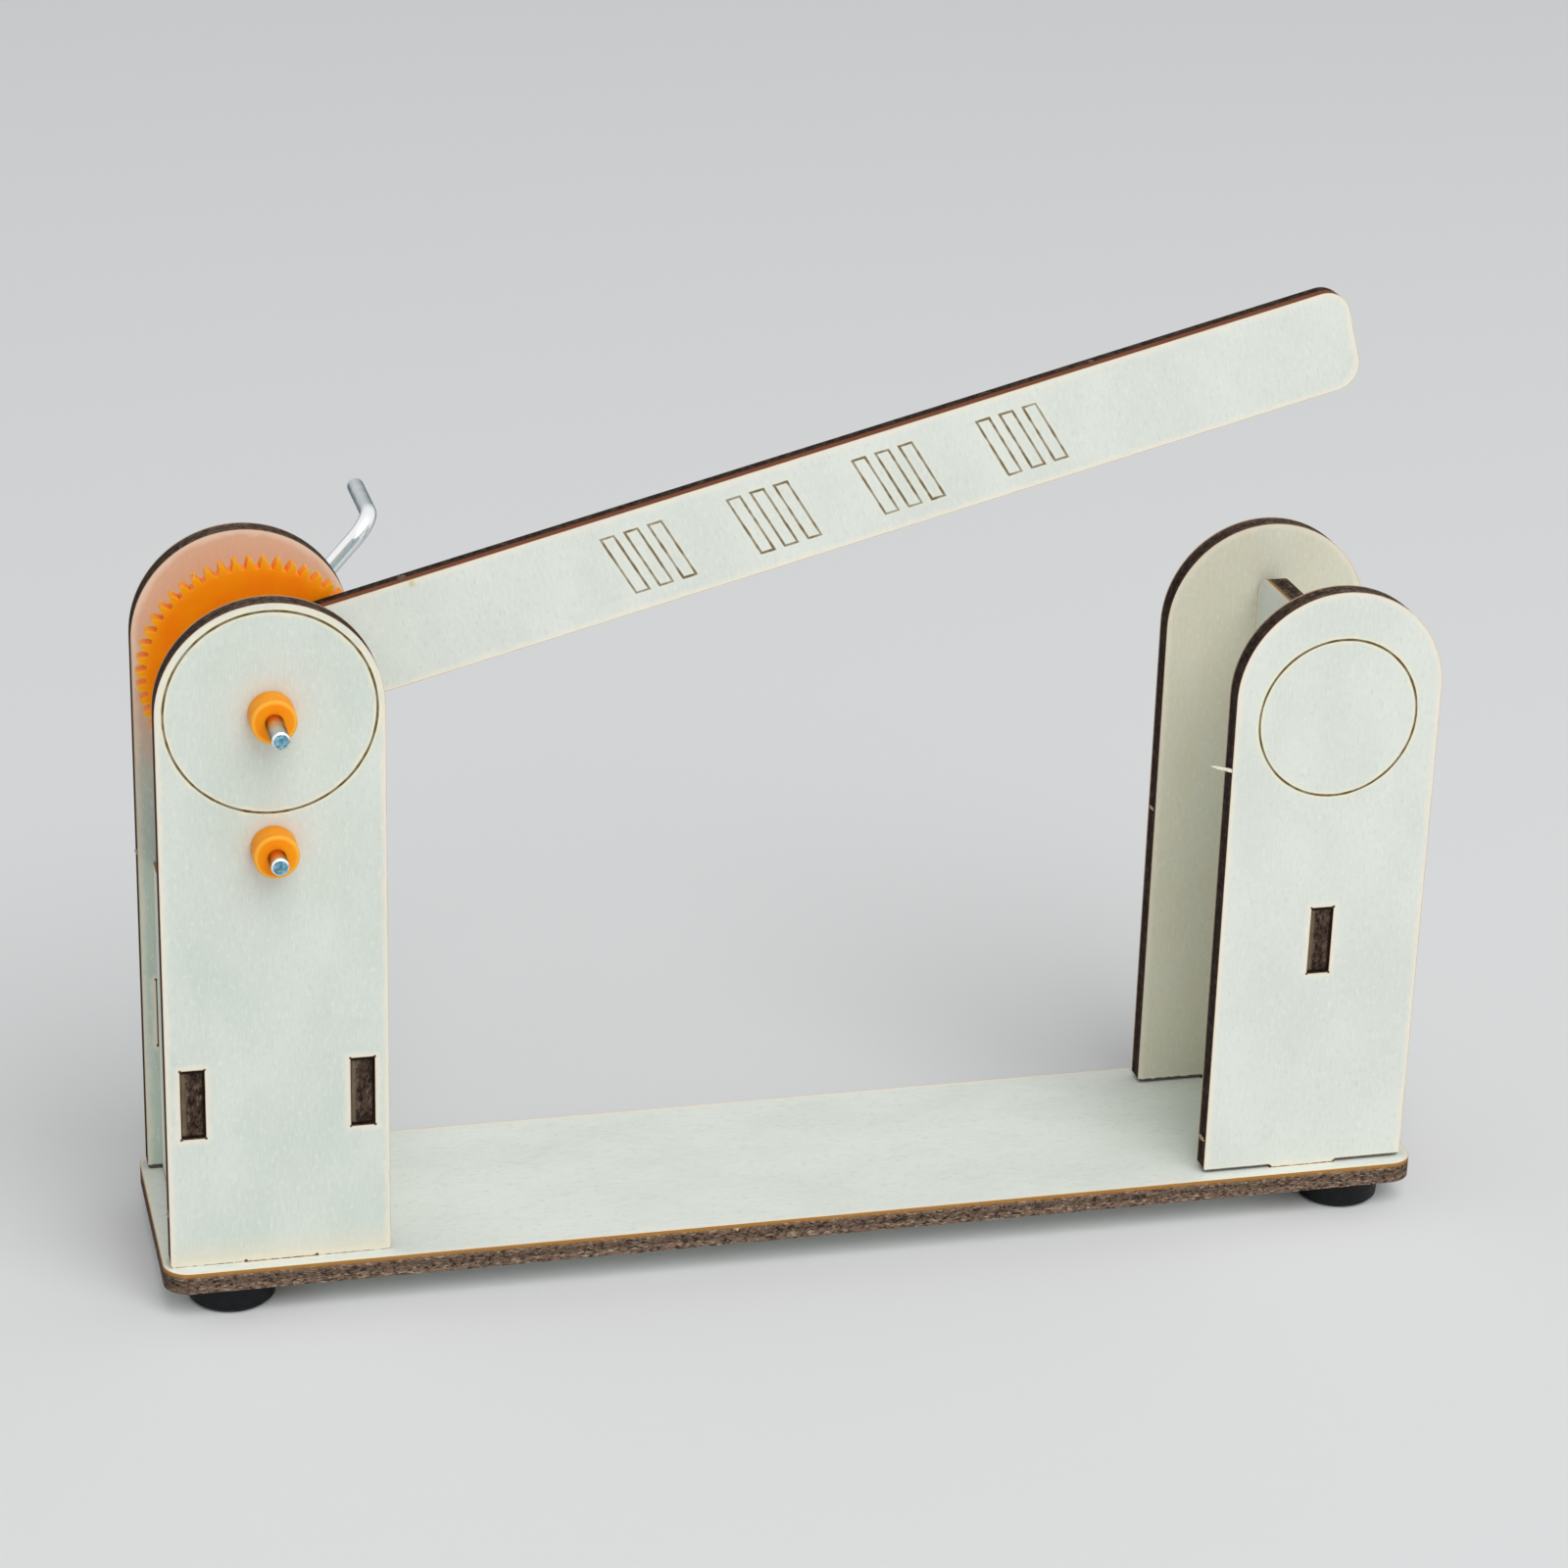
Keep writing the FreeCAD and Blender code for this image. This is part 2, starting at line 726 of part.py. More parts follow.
def check_document():
    """Stop if any feature failed or any piece is not one sound solid."""
    document.recompute()
    for item in document.Objects:
        if {"Invalid", "Error"} & set(item.State):
            raise RuntimeError(f"{item.Name} failed: {item.State}")
    for body in document.findObjects("PartDesign::Body"):
        if body.Shape.isNull() or not body.Shape.isValid():
            raise RuntimeError(f"{body.Label} has no valid shape")
        if len(body.Shape.Solids) != 1:
            raise RuntimeError(f"{body.Label} has {len(body.Shape.Solids)} solids")


def write_parts():
    """Write one file for each piece, where it stands in the assembly."""
    os.makedirs("parts", exist_ok=True)
    for body in document.findObjects("PartDesign::Body"):
        body.Shape.exportStep(f"parts/{body.Label}.step")
        print(f"{body.Label}: {body.Shape.Volume:.1f} cubic mm")


make_base()
make_panels()
make_cross_plates()
make_boom()
make_gears()
make_boom_shaft()
make_crank()
make_bushes()
make_rubber_feet()
check_document()
write_parts()
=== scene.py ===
import math
import random

import bmesh
import bpy
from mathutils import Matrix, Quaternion, Vector


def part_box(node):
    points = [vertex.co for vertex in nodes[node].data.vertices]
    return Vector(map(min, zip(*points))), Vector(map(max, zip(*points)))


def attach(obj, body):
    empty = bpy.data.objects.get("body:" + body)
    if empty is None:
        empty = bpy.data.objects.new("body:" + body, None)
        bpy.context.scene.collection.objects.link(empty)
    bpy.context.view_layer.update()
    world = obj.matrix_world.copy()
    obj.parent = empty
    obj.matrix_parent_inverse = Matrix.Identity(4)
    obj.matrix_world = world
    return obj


# %% [markdown]
# # Dressing a laser-cut toy barrier
# The CAD model gives every piece its exact shape and place. This script adds what CAD leaves
# out: pale plywood with scorched edges, moulded orange plastic, drawn steel wire and rubber.
# We begin by loading the packed model. Each CAD node arrives as a mesh object whose vertices are
# in metres, in one shared frame, so nothing has to be fitted by hand.

# %% Load the frame
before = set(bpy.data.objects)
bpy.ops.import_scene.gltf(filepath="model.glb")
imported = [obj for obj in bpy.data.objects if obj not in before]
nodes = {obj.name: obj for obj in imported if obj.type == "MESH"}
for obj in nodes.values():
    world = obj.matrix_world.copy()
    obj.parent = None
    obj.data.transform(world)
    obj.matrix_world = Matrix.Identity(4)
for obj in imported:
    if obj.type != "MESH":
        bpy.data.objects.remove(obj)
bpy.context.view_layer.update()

# %% [markdown] ## The measures that the finishes need A laser scorches wood only near its
# path, so the plywood finish has to know where every cut runs. Only what no box shows is
# written as a number, in the cell that first needs it. All lengths are millimetres.

# %% Sizes in millimetres
MM = 0.001


def box_mm(node):
    """Lowest and highest corner of a CAD node in millimetres."""
    return [Vector(corner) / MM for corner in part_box(node)]


def middle_mm(node):
    low, high = box_mm(node)
    return (low + high) / 2


base_low, base_high = box_mm("base_plate")
tower_low, tower_high = box_mm("tower_front_panel")
post_low, post_high = box_mm("post_front_panel")
PLY = base_high.z - base_low.z
TOWER_X = (tower_low.x + tower_high.x) / 2
POST_X = (post_low.x + post_high.x) / 2
PANEL_HALF_WIDTH = (tower_high.x - tower_low.x) / 2
PANEL_FRONT_Y = tower_low.y
PANEL_REAR_Y = box_mm("tower_rear_panel")[0].y
BOOM_AXIS_Z = middle_mm("boom_gear").z
CRANK_AXIS_Z = middle_mm("crank_bush_front").z
print(f"tower at x {TOWER_X:.2f}, post at x {POST_X:.2f}, boom axis at z {BOOM_AXIS_Z:.2f} mm")

# %% [markdown]
# ## The camera
# The photograph was taken from a little to the left of the front, looking down by about
# 22 degrees, with the camera rolled by less than 2 degrees. The eye point and the long lens come
# from a least-squares match to the object's straight edges. `to_track_quat` turns a viewing
# direction into a rotation; the roll is a second turn about the camera's own axis.

# %% Camera
EYE = Vector((-0.11228, -0.42920, 0.22926))
GAZE = Vector((0.23276, 0.89772, -0.37406))
ROLL = math.radians(1.676)
LENS_MM = 95.82
SENSOR_MM = 36.0
NEAREST_IN_VIEW = 0.01

camera_data = bpy.data.cameras.new("studio_camera")
camera_data.lens = LENS_MM
camera_data.sensor_width = SENSOR_MM
camera_data.clip_start = NEAREST_IN_VIEW
camera = bpy.data.objects.new("studio_camera", camera_data)
bpy.context.scene.collection.objects.link(camera)
camera.location = EYE
camera.rotation_mode = "QUATERNION"
camera.rotation_quaternion = GAZE.to_track_quat("-Z", "Y") @ Quaternion((0, 0, 1), ROLL)
bpy.context.scene.camera = camera
bpy.context.scene.view_settings.view_transform = "Standard"
print("camera at", [round(value, 3) for value in EYE])

# %% [markdown]
# ## A small language for node trees
# Procedural materials are sums written with nodes. Wiring dozens of Math nodes by hand hides the
# idea, so `Wire` wraps a node's output and lets us write plain arithmetic: adding two wires makes
# an Add node.

# %% Wires


class Wire:
    """An output socket that can be used in a sum."""

    def __init__(self, recipe, socket):
        self.recipe = recipe
        self.socket = socket

    def __add__(self, other):
        return self.recipe.math("ADD", self, other)

    def __sub__(self, other):
        return self.recipe.math("SUBTRACT", self, other)

    def __mul__(self, other):
        return self.recipe.math("MULTIPLY", self, other)

    def __truediv__(self, other):
        return self.recipe.math("DIVIDE", self, other)

    def size(self):
        return self.recipe.math("ABSOLUTE", self)

    def at_least(self, other):
        return self.recipe.math("MAXIMUM", self, other)

    def at_most(self, other):
        return self.recipe.math("MINIMUM", self, other)


print("wires can be added, subtracted, multiplied, divided and limited")

# %% [markdown]
# ## Recipes
# A `Recipe` owns one material. It gives the place being shaded and the way the surface faces, and
# it offers noise, soft steps, colour mixing and bumps. `set` feeds the shader: a plain number is
# written on the socket itself, and a wire is linked to it.

# %% Recipes


class Recipe:
    """One material and the tools to write its node tree."""

    def __init__(self, name):
        self.material = bpy.data.materials.new(name)
        self.material.use_nodes = True
        self.tree = self.material.node_tree
        self.shader = self.tree.nodes["Principled BSDF"]

    def feed(self, socket, value):
        if isinstance(value, Wire):
            self.tree.links.new(value.socket, socket)
        else:
            socket.default_value = value

    def math(self, operation, *values):
        node = self.tree.nodes.new("ShaderNodeMath")
        node.operation = operation
        for socket, value in zip(node.inputs, values):
            self.feed(socket, value)
        return Wire(self, node.outputs[0])

    def vector(self, x, y, z):
        node = self.tree.nodes.new("ShaderNodeCombineXYZ")
        for socket, value in zip(node.inputs, (x, y, z)):
            self.feed(socket, value)
        return Wire(self, node.outputs[0])

    def length(self, x, y):
        return self.math("SQRT", x * x + y * y)

    def place(self):
        """The point being shaded, in millimetres in the object's frame."""
        coordinates = self.tree.nodes.new("ShaderNodeTexCoord")
        scaled = self.tree.nodes.new("ShaderNodeVectorMath")
        scaled.operation = "SCALE"
        scaled.inputs["Scale"].default_value = 1 / MM
        self.tree.links.new(coordinates.outputs["Object"], scaled.inputs[0])
        split = self.tree.nodes.new("ShaderNodeSeparateXYZ")
        self.tree.links.new(scaled.outputs[0], split.inputs[0])
        return [Wire(self, output) for output in split.outputs]

    def facing(self, axis):
        """How squarely the surface faces along one axis, from 0 to 1."""
        geometry = self.tree.nodes.new("ShaderNodeNewGeometry")
        split = self.tree.nodes.new("ShaderNodeSeparateXYZ")
        self.tree.links.new(geometry.outputs["True Normal"], split.inputs[0])
        return Wire(self, split.outputs[axis]).size()

    def noise(self, place, detail=3.0, roughness=0.5):
        node = self.tree.nodes.new("ShaderNodeTexNoise")
        node.inputs["Scale"].default_value = 1.0
        node.inputs["Detail"].default_value = detail
        node.inputs["Roughness"].default_value = roughness
        node.inputs["Distortion"].default_value = 0.0
        self.feed(node.inputs["Vector"], place)
        return Wire(self, node.outputs[0])

    def ramp(self, value, low, high, start=0.0, end=1.0):
        """A soft step from start to end while value goes from low to high."""
        node = self.tree.nodes.new("ShaderNodeMapRange")
        node.interpolation_type = "SMOOTHSTEP"
        for socket, number in zip(node.inputs[:5], (value, low, high, start, end)):
            self.feed(socket, number)
        return Wire(self, node.outputs[0])

    def mix(self, share, first, second):
        """Colours or wires: all of the first at share 0, all of the second at share 1."""
        node = self.tree.nodes.new("ShaderNodeMix")
        node.data_type = "RGBA"
        self.feed(node.inputs[0], share)
        colour_inputs = [socket for socket in node.inputs if socket.type == "RGBA"]
        for socket, tone in zip(colour_inputs, (first, second)):
            self.feed(socket, tone)
        colour_outputs = [socket for socket in node.outputs if socket.type == "RGBA"]
        return Wire(self, colour_outputs[0])

    def bump(self, height, distance):
        node = self.tree.nodes.new("ShaderNodeBump")
        node.inputs["Strength"].default_value = 1.0
        node.inputs["Distance"].default_value = distance
        self.feed(node.inputs["Height"], height)
        self.tree.links.new(node.outputs[0], self.shader.inputs["Normal"])

    def set(self, **values):
        for name, value in values.items():
            self.feed(self.shader.inputs[name.replace("_", " ")], value)
        return self.material


print("tools of a recipe:", ", ".join(name for name in vars(Recipe) if name[0] != "_"))

# %% [markdown]
# ## Colours and dressing
# A colour is easiest to judge as it looks on screen, but Blender adds light up in linear numbers,
# so `colour` undoes the screen's curve. `dress` puts one material on CAD nodes and leaves their
# meshes alone.

# %% Colours and dressing


def colour(red, green, blue):
    """A colour given as it looks on screen, 0 to 255, turned into linear light."""
    def linear(value):
        value = value / 255
        return value / 12.92 if value <= 0.04045 else ((value + 0.055) / 1.055) ** 2.4
    return (linear(red), linear(green), linear(blue), 1.0)


def dress(material, *names):
    """Give nodes a material in all their slots."""
    for name in names:
        piece = nodes[name]
        if not piece.data.materials:
            piece.data.materials.append(material)
        for number in range(len(piece.material_slots)):
            piece.material_slots[number].material = material
    print(material.name, "on", ", ".join(names))


print("half of white on screen is", round(colour(128, 128, 128)[0], 3), "in linear light")

# %% [markdown]
# ## How far is the nearest cut?
# The scorch of a laser fades over about a millimetre. With the outline of each sheet known, the
# distance from any point to the nearest cut is a short formula: this is a signed distance field,
# and it costs a few Math nodes instead of a painted texture. The last two formulas measure from
# the shafts, for what changes with the distance from them.

# %% Distances


def inside_rounded_box(recipe, x, y, half_x, half_y, corner):
    """Depth inside a rounded rectangle centred on zero."""
    over_x = x.size() - (half_x - corner)
    over_y = y.size() - (half_y - corner)
    outer = recipe.length(over_x.at_least(0.0), over_y.at_least(0.0))
    inner = over_x.at_least(over_y).at_most(0.0)
    return recipe.math("SUBTRACT", corner, outer + inner)


def outside_box(recipe, x, y, centre, half_x, half_y):
    """Distance from a rectangular slot to a point outside it."""
    over_x = (x - centre[0]).size() - half_x
    over_y = (y - centre[1]).size() - half_y
    return recipe.length(over_x.at_least(0.0), over_y.at_least(0.0))


def outside_circle(recipe, x, y, centre, radius):
    """Distance from a round hole to a point outside it."""
    return recipe.length(x - centre[0], y - centre[1]) - radius


def inside_arch(recipe, x, z, middle_x, arch_z):
    """Depth inside a round-topped panel that stands on the base."""
    to_side = recipe.length(x - middle_x, (z - arch_z).at_least(0.0))
    return recipe.math("SUBTRACT", PANEL_HALF_WIDTH, to_side).at_most(z - PLY)


def from_boom_shaft(recipe, x, z):
    """Distance from the middle of the arm's shaft, which runs along Y."""
    return recipe.length(x - TOWER_X, z - BOOM_AXIS_Z)


def from_nearer_shaft(recipe, x, z):
    """Distance from the arm's shaft or the crank, whichever is nearer."""
    from_crank = recipe.length(x - TOWER_X, z - CRANK_AXIS_Z)
    return from_boom_shaft(recipe, x, z).at_most(from_crank)


print(f"panels are {2 * PANEL_HALF_WIDTH:.1f} mm wide")

# %% [markdown]
# ## The sanded face of the plywood
# The face is pale veneer, sanded but not varnished: a cool, greyish white with fine fibres along
# the grain, cloudy patches and a few pores. A scanned picture would repeat and would need an
# unwrapped mesh, so the face is noise instead, stretched along the grain. Sheets of one kit differ
# in tone, so a layout may ask for a share of brighter wood. It may also ask for painted warm
# bounce light or painted shade. These two belong to the side that faces the viewer, so they fade
# with the depth in the sheet.

# %% Veneer
FACE_PALE = colour(225, 230, 222)
FACE_COOL = colour(217, 223, 215)
FACE_BRIGHT = colour(240, 246, 240)
FACE_PAINTED_WARM_LIGHT = colour(222, 210, 172)
FACE_PAINTED_SHADE = colour(184, 203, 190)
FIBRE_LIGHT = colour(236, 238, 230)
FIBRE_DARK = colour(202, 205, 192)
PORE = colour(162, 150, 124)


def veneer(recipe, sheet):
    """The sanded face, and the fibre pattern that its bump also uses."""
    along, across, depth = sheet["along"], sheet["across"], sheet["depth"]
    cloud = recipe.noise(recipe.vector(along * 0.06, across * 0.11, depth), detail=3.0)
    face = recipe.mix(recipe.ramp(cloud, 0.3, 0.7), FACE_COOL, FACE_PALE)
    patch = recipe.noise(recipe.vector(along * 0.09 + 4.0, across * 0.16, depth), detail=3.0)
    # The warm and shade tones are painted light: warm bounce light and shade, on the sheet's front
    # side only.
    for key, tone in (("bright", FACE_BRIGHT), ("warm", FACE_PAINTED_WARM_LIGHT), ("shade", FACE_PAINTED_SHADE)):
        if key in sheet:
            share = recipe.ramp(patch, 0.3, 0.7, sheet[key], sheet[key] + 0.22)
            if key != "bright":
                share = share * recipe.ramp(depth, 0.3, 0.6, 1.0, 0.2)
            face = recipe.mix(share, face, tone)
    fibre = recipe.noise(
        recipe.vector(along * 0.5, across * 7.0, depth), detail=5.0, roughness=0.7
    )
    face = recipe.mix(recipe.ramp(fibre, 0.5, 0.75, 0.0, 0.6), face, FIBRE_LIGHT)
    face = recipe.mix(recipe.ramp(fibre, 0.28, 0.48, 0.5, 0.0), face, FIBRE_DARK)
    dab = recipe.noise(recipe.vector(along * 1.3, across * 2.3, depth + 3.0), detail=3.0)
    face = recipe.mix(recipe.ramp(dab, 0.56, 0.72, 0.0, 0.4), face, FIBRE_LIGHT)
    face = recipe.mix(recipe.ramp(dab, 0.28, 0.44, 0.35, 0.0), face, FIBRE_DARK)
    pore = recipe.noise(recipe.vector(along * 1.3, across * 11.0, depth + 7.0), detail=2.0)
    face = recipe.mix(recipe.ramp(pore, 0.68, 0.8, 0.0, 0.4), face, PORE)
    return face, fibre


print("brightest face colour in linear light:", [round(value, 2) for value in FACE_BRIGHT[:3]])

# %% [markdown]
# ## What the laser leaves on the face
# Beside each cut the face has a hair-thin tan line and a pale warm halo. Where the laser only
# engraves, it leaves a thin brown line with a pale yellow rim. Cutting such a line into the mesh
# would take thousands of faces, so it is drawn from its distance formula. A slow noise makes the
# lines wander and fade a little, as the real ones do.

# %% Scorched rim and engraving
HALO = colour(244, 234, 214)
CUT_LINE = colour(190, 158, 122)
ENGRAVED = colour(106, 84, 52)
ENGRAVED_RIM = colour(247, 238, 194)
FAR_AWAY = 9.0


def scorched_rim(recipe, face, to_cut, wander):
    """Add the pale halo and the thin line beside each cut."""
    reach = to_cut + (wander - 0.5) * 0.9
    face = recipe.mix(recipe.ramp(reach, 0.1, 1.0, 0.6, 0.0), face, HALO)
    reach = to_cut + (wander - 0.5) * 0.12
    return recipe.mix(recipe.ramp(reach, 0.02, 0.13, 0.6, 0.0), face, CUT_LINE)


def engraving(recipe, face, off_line, wander, rim):
    """Draw an engraved line with a pale rim, given the distance from its middle."""
    reach = off_line + (wander - 0.5) * 0.8
    face = recipe.mix(recipe.ramp(reach, 0.12, 0.6, rim, 0.0), face, ENGRAVED_RIM)
    ragged = off_line + (wander - 0.5) * 0.14
    strong = recipe.ramp(wander, 0.35, 0.65, 0.95, 0.7)
    return recipe.mix(recipe.ramp(ragged, 0.07, 0.19, strong, 0.0), face, ENGRAVED)


def off_front(recipe, depth):
    """Nothing on the front face and far away behind it, to keep a line on the front."""
    return recipe.ramp(depth, 0.3, 0.6, 0.0, FAR_AWAY)


print("engraved lines are about a quarter of a millimetre wide")

# %% [markdown]
# ## The charred cut edge
# The edge that the laser cut is char: dark brown with lighter flecks, the middle ply darker
# because it shows its end grain, and a thin amber line along one face. Edges that face sideways
# get painted shade on top of their soot. Three noises of different sizes make the patches, the
# specks and the flecks. Each layout says how sooty its sheet is, how far the amber reaches, and
# whether a tan ply or a painted highlight along the rear rim shows.

# %% Char
SOOT = colour(26, 15, 10)
CHAR_DARK = colour(48, 36, 31)
CHAR_MID = colour(128, 106, 90)
CHAR_LIGHT = colour(192, 172, 146)
TAN_PLY = colour(128, 114, 92)
PAINTED_BACK_HIGHLIGHT = colour(196, 168, 138)
AMBER = colour(180, 128, 60)
EMBER = colour(134, 80, 54)


def charred(recipe, sheet, x, y, z):
    """The cut edge: speckled char with a lighter rim, and its bump height."""
    along, across, depth = sheet["along"], sheet["across"], sheet["depth"]
    coarse = recipe.noise(recipe.vector(x * 1.3, y * 1.3, z * 1.3), detail=3.0, roughness=0.6)
    speck = recipe.noise(
        recipe.vector(along * 1.7, across * 1.7, depth * 3.6), detail=5.0, roughness=0.8
    )
    char = recipe.mix(recipe.ramp(speck + coarse * 0.3, 0.54, 0.7), CHAR_DARK, CHAR_MID)
    fleck = recipe.noise(recipe.vector(along * 1.4, across * 1.4, depth * 4.4 + 5.0), detail=4.0)
    char = recipe.mix(recipe.ramp(fleck, 0.54, 0.68, 0.0, 0.65), char, CHAR_LIGHT)
    off_middle = (depth - PLY / 2).size()
    char = recipe.mix(recipe.ramp(off_middle, 0.35, 0.5, 0.35, 0.0), char, CHAR_DARK)
    soot_and_side_shade = recipe.ramp(coarse, 0.3, 0.7, sheet["soot"] * 1.2, sheet["soot"] * 0.7)
    # Painted shade: edges that face along X are pushed towards soot.
    soot_and_side_shade = (soot_and_side_shade + recipe.facing(0) * 0.45).at_most(0.985)
    char = recipe.mix(soot_and_side_shade, char, SOOT)
    if "tab_rim" in sheet:
        char = recipe.mix(recipe.ramp(depth + (speck - 0.5), 0.3, 0.6, 0.6, 0.0), char, TAN_PLY)
        char = recipe.mix(recipe.ramp(sheet["tab_rim"], 0.08, 0.4, 0.95, 0.0), char, SOOT)
    # Painted highlight: a tan line along the cut edge's rear rim.
    if "highlit_back_rim" in sheet:
        char = recipe.mix(recipe.ramp(sheet["highlit_back_rim"], 0.16, 0.34, 0.8, 0.0), char, PAINTED_BACK_HIGHLIGHT)
    uneven_rim = sheet["rim"] + (coarse - 0.5) * 0.3 + (speck - 0.5) * 0.4
    reach = sheet.get("amber_reach", 0.34)
    lit_rim = recipe.ramp(uneven_rim, 0.1, reach, sheet["amber"], 0.0)
    return recipe.mix(lit_rim, char, sheet.get("rim_tone", AMBER)), speck


print("char goes from", [round(value, 3) for value in SOOT[:3]], "in linear light")

# %% [markdown]
# ## Plywood as one finish
# One function puts the face and the edge together for all sheets. `facing` tells face from edge.
# On some sheets there is more: the orange light that the gear and the bushes throw on the wood
# near them, a warm foot, a yellow blot, small burnt spots, and painted shadow where the rear
# panels and the cross plates meet the base. Bounced light gives some of that orange by itself,
# but the real plastic glows more than the rendered one, so a tint helps.

# %% Plywood
GEAR_GLOW = colour(238, 176, 134)
STAIN = colour(206, 192, 118)
FOOT_WARM = colour(236, 222, 198)
FOOT_WARM_HEIGHT = 4.0
WOOD_RELIEF = 0.04 * MM


def plywood(name, layout):
    """Plywood whose layout gives the grain, the depth in the sheet and the cuts."""
    recipe = Recipe(name)
    x, y, z = recipe.place()
    sheet = layout(recipe, x, y, z)
    is_face = recipe.ramp(recipe.facing(sheet["axis"]), 0.6, 0.8)
    is_edge = recipe.math("SUBTRACT", 1.0, is_face)
    wander = recipe.noise(recipe.vector(x * 0.6, y * 0.6, z * 0.6), detail=2.0)

    face, fibre = veneer(recipe, sheet)
    if "glow" in sheet:
        face = recipe.mix(recipe.ramp(sheet["glow"], 0.5, 1.1, 0.72, 0.0), face, GEAR_GLOW)
    face = scorched_rim(recipe, face, sheet["cut"], wander)
    if "engraved" in sheet:
        face = engraving(recipe, face, sheet["engraved"], wander, sheet["engraved_rim"])
    if "stain" in sheet:
        blot = sheet["stain"] + (fibre - 0.5) * 1.2 + (wander - 0.5)
        face = recipe.mix(recipe.ramp(blot, 0.0, 0.6, 0.7, 0.0), face, STAIN)
    if "foot" in sheet:
        near_foot = recipe.ramp(sheet["foot"], 0.0, FOOT_WARM_HEIGHT, 0.5, 0.0)
        face = recipe.mix(near_foot, face, FOOT_WARM)
    # Burnt dots and lines, and painted contact shadow at the feet of rear panels and cross plates,
    # all in the dark char colour.
    if "burn_and_shadow" in sheet:
        reach = sheet["burn_and_shadow"] + (wander - 0.5) * 0.1
        face = recipe.mix(recipe.ramp(reach, 0.0, 0.12, 0.9, 0.0), face, CHAR_DARK)

    char, speck = charred(recipe, sheet, x, y, z)
    recipe.bump(fibre * is_face * 0.6 + speck * is_edge * 2.0, WOOD_RELIEF)
    return recipe.set(
        Base_Color=recipe.mix(is_face, char, face),
        Roughness=recipe.ramp(fibre, 0.3, 0.7, 0.62, 0.78) + is_edge * 0.15,
        Specular_IOR_Level=recipe.math("SUBTRACT", 0.45, is_edge * 0.3),
        IOR=1.4,
    )


print(f"the wood's relief is {WOOD_RELIEF / MM:.2f} mm high")

# %% [markdown]
# ## The base plate
# A layout says how one sheet lies: `along` and `across` the grain, the `depth` from its first
# face, the `axis` it is thin along, the distance to the nearest `cut`, and the distance from the
# face whose edge the laser left amber (`rim`). The base lies flat, with rounded corners and four
# slots for the upright panels. Its amber line is the widest one.

# %% Base layout
BASE_CORNER = 3.0
BASE_SLOT_HALF_LENGTH = 4.1
BASE_SLOT_HALF_WIDTH = 1.3


def base_layout(recipe, x, y, z):
    half_length = (base_high.x - base_low.x) / 2
    half_width = (base_high.y - base_low.y) / 2
    cut = inside_rounded_box(recipe, x, y, half_length, half_width, BASE_CORNER)
    for middle_x in (TOWER_X, POST_X):
        for panel_y in (PANEL_FRONT_Y, PANEL_REAR_Y):
            centre = (middle_x, panel_y + PLY / 2)
            slot = outside_box(recipe, x, y, centre, BASE_SLOT_HALF_LENGTH, BASE_SLOT_HALF_WIDTH)
            cut = cut.at_most(slot)
    return {
        "along": x, "across": y, "depth": z, "axis": 2, "cut": cut, "soot": 0.0, "bright": 0.2,
        "rim": recipe.math("SUBTRACT", PLY, z), "amber": 0.95, "amber_reach": 0.7,
    }


dress(plywood("ply_base_plate", base_layout), "base_plate")

# %% [markdown]
# ## Burnt spots and painted foot shadow on the upright panels
# Where the beam turns or stops it burns a little more: a dot at each corner of a slot and beside
# the tab that stands in the base, and a dashed dark line along the foot. On the rear panels that
# line is wider: a burnt line together with painted shadow where the panel meets the base. On the
# post's front panel the shoulders beside the tab stand off the base, so the dark line is higher
# there. All of them are one distance, the smallest of several.

# %% Burnt spots
SLOT_HALF_WIDTH = 1.37
SLOT_HALF_HEIGHT = 4.2
SLOT_DOT_RADIUS = 0.1
TAB_HALF_WIDTH = 4.0
TAB_DOT_RISE = 0.1
TAB_DOT_RADIUS = 0.14
FOOT_LINE_FRONT = 0.03
FOOT_SHADOW_REAR = 0.5
SHOULDER_FADE = 0.1


def burnt_spots_and_foot_shadow(recipe, x, z, middle_x, is_front, slots, shoulder):
    """Distance from the dots and lines that the laser burnt into a panel's face, and from the
    painted shadow at a rear panel's foot.
    """
    from_middle = (x - middle_x).size()
    burn_and_shadow = recipe.length(from_middle - TAB_HALF_WIDTH, z - PLY - TAB_DOT_RISE) - TAB_DOT_RADIUS
    for slot in slots:
        past_x = (x - slot[0]).size() - SLOT_HALF_WIDTH
        past_z = (z - slot[1]).size() - SLOT_HALF_HEIGHT
        burn_and_shadow = burn_and_shadow.at_most(recipe.length(past_x, past_z) - SLOT_DOT_RADIUS)
    dashes = recipe.noise(recipe.vector(x * 0.8, 0.0, 0.0), detail=4.0, roughness=0.7)
    foot_line = z - PLY + recipe.ramp(dashes, 0.45, 0.6, 0.0, 0.12)
    # On the rear panels the wider foot line is painted shadow where the panel meets the base.
    burn_and_shadow = burn_and_shadow.at_most(foot_line - (FOOT_LINE_FRONT if is_front else FOOT_SHADOW_REAR))
    if shoulder:
        beside_tab = recipe.ramp(
            from_middle, TAB_HALF_WIDTH - SHOULDER_FADE, TAB_HALF_WIDTH + SHOULDER_FADE,
            FAR_AWAY, -SHOULDER_FADE,
        )
        burn_and_shadow = burn_and_shadow.at_most(z - PLY - shoulder + beside_tab)
    return burn_and_shadow


print(f"burnt dots are {2 * TAB_DOT_RADIUS:.2f} and {2 * SLOT_DOT_RADIUS:.2f} mm across")

# %% [markdown]
# ## The upright panels
# Four round-topped panels: two make the gear tower, two the rest post. One function writes their
# layouts, because they differ only in slots, shaft holes, ring and tone. The front ones carry an
# engraved circle. The tower's panels catch orange light: the rear one from the gear in front of
# it, the front one from the two bushes.

# %% Panel layouts
SHAFT_HOLE_RADIUS = 1.05
GEAR_GLOW_REACH = 20.0
BUSH_GLOW_REACH = 7.0
BUSH_GLOW_START = 0.55


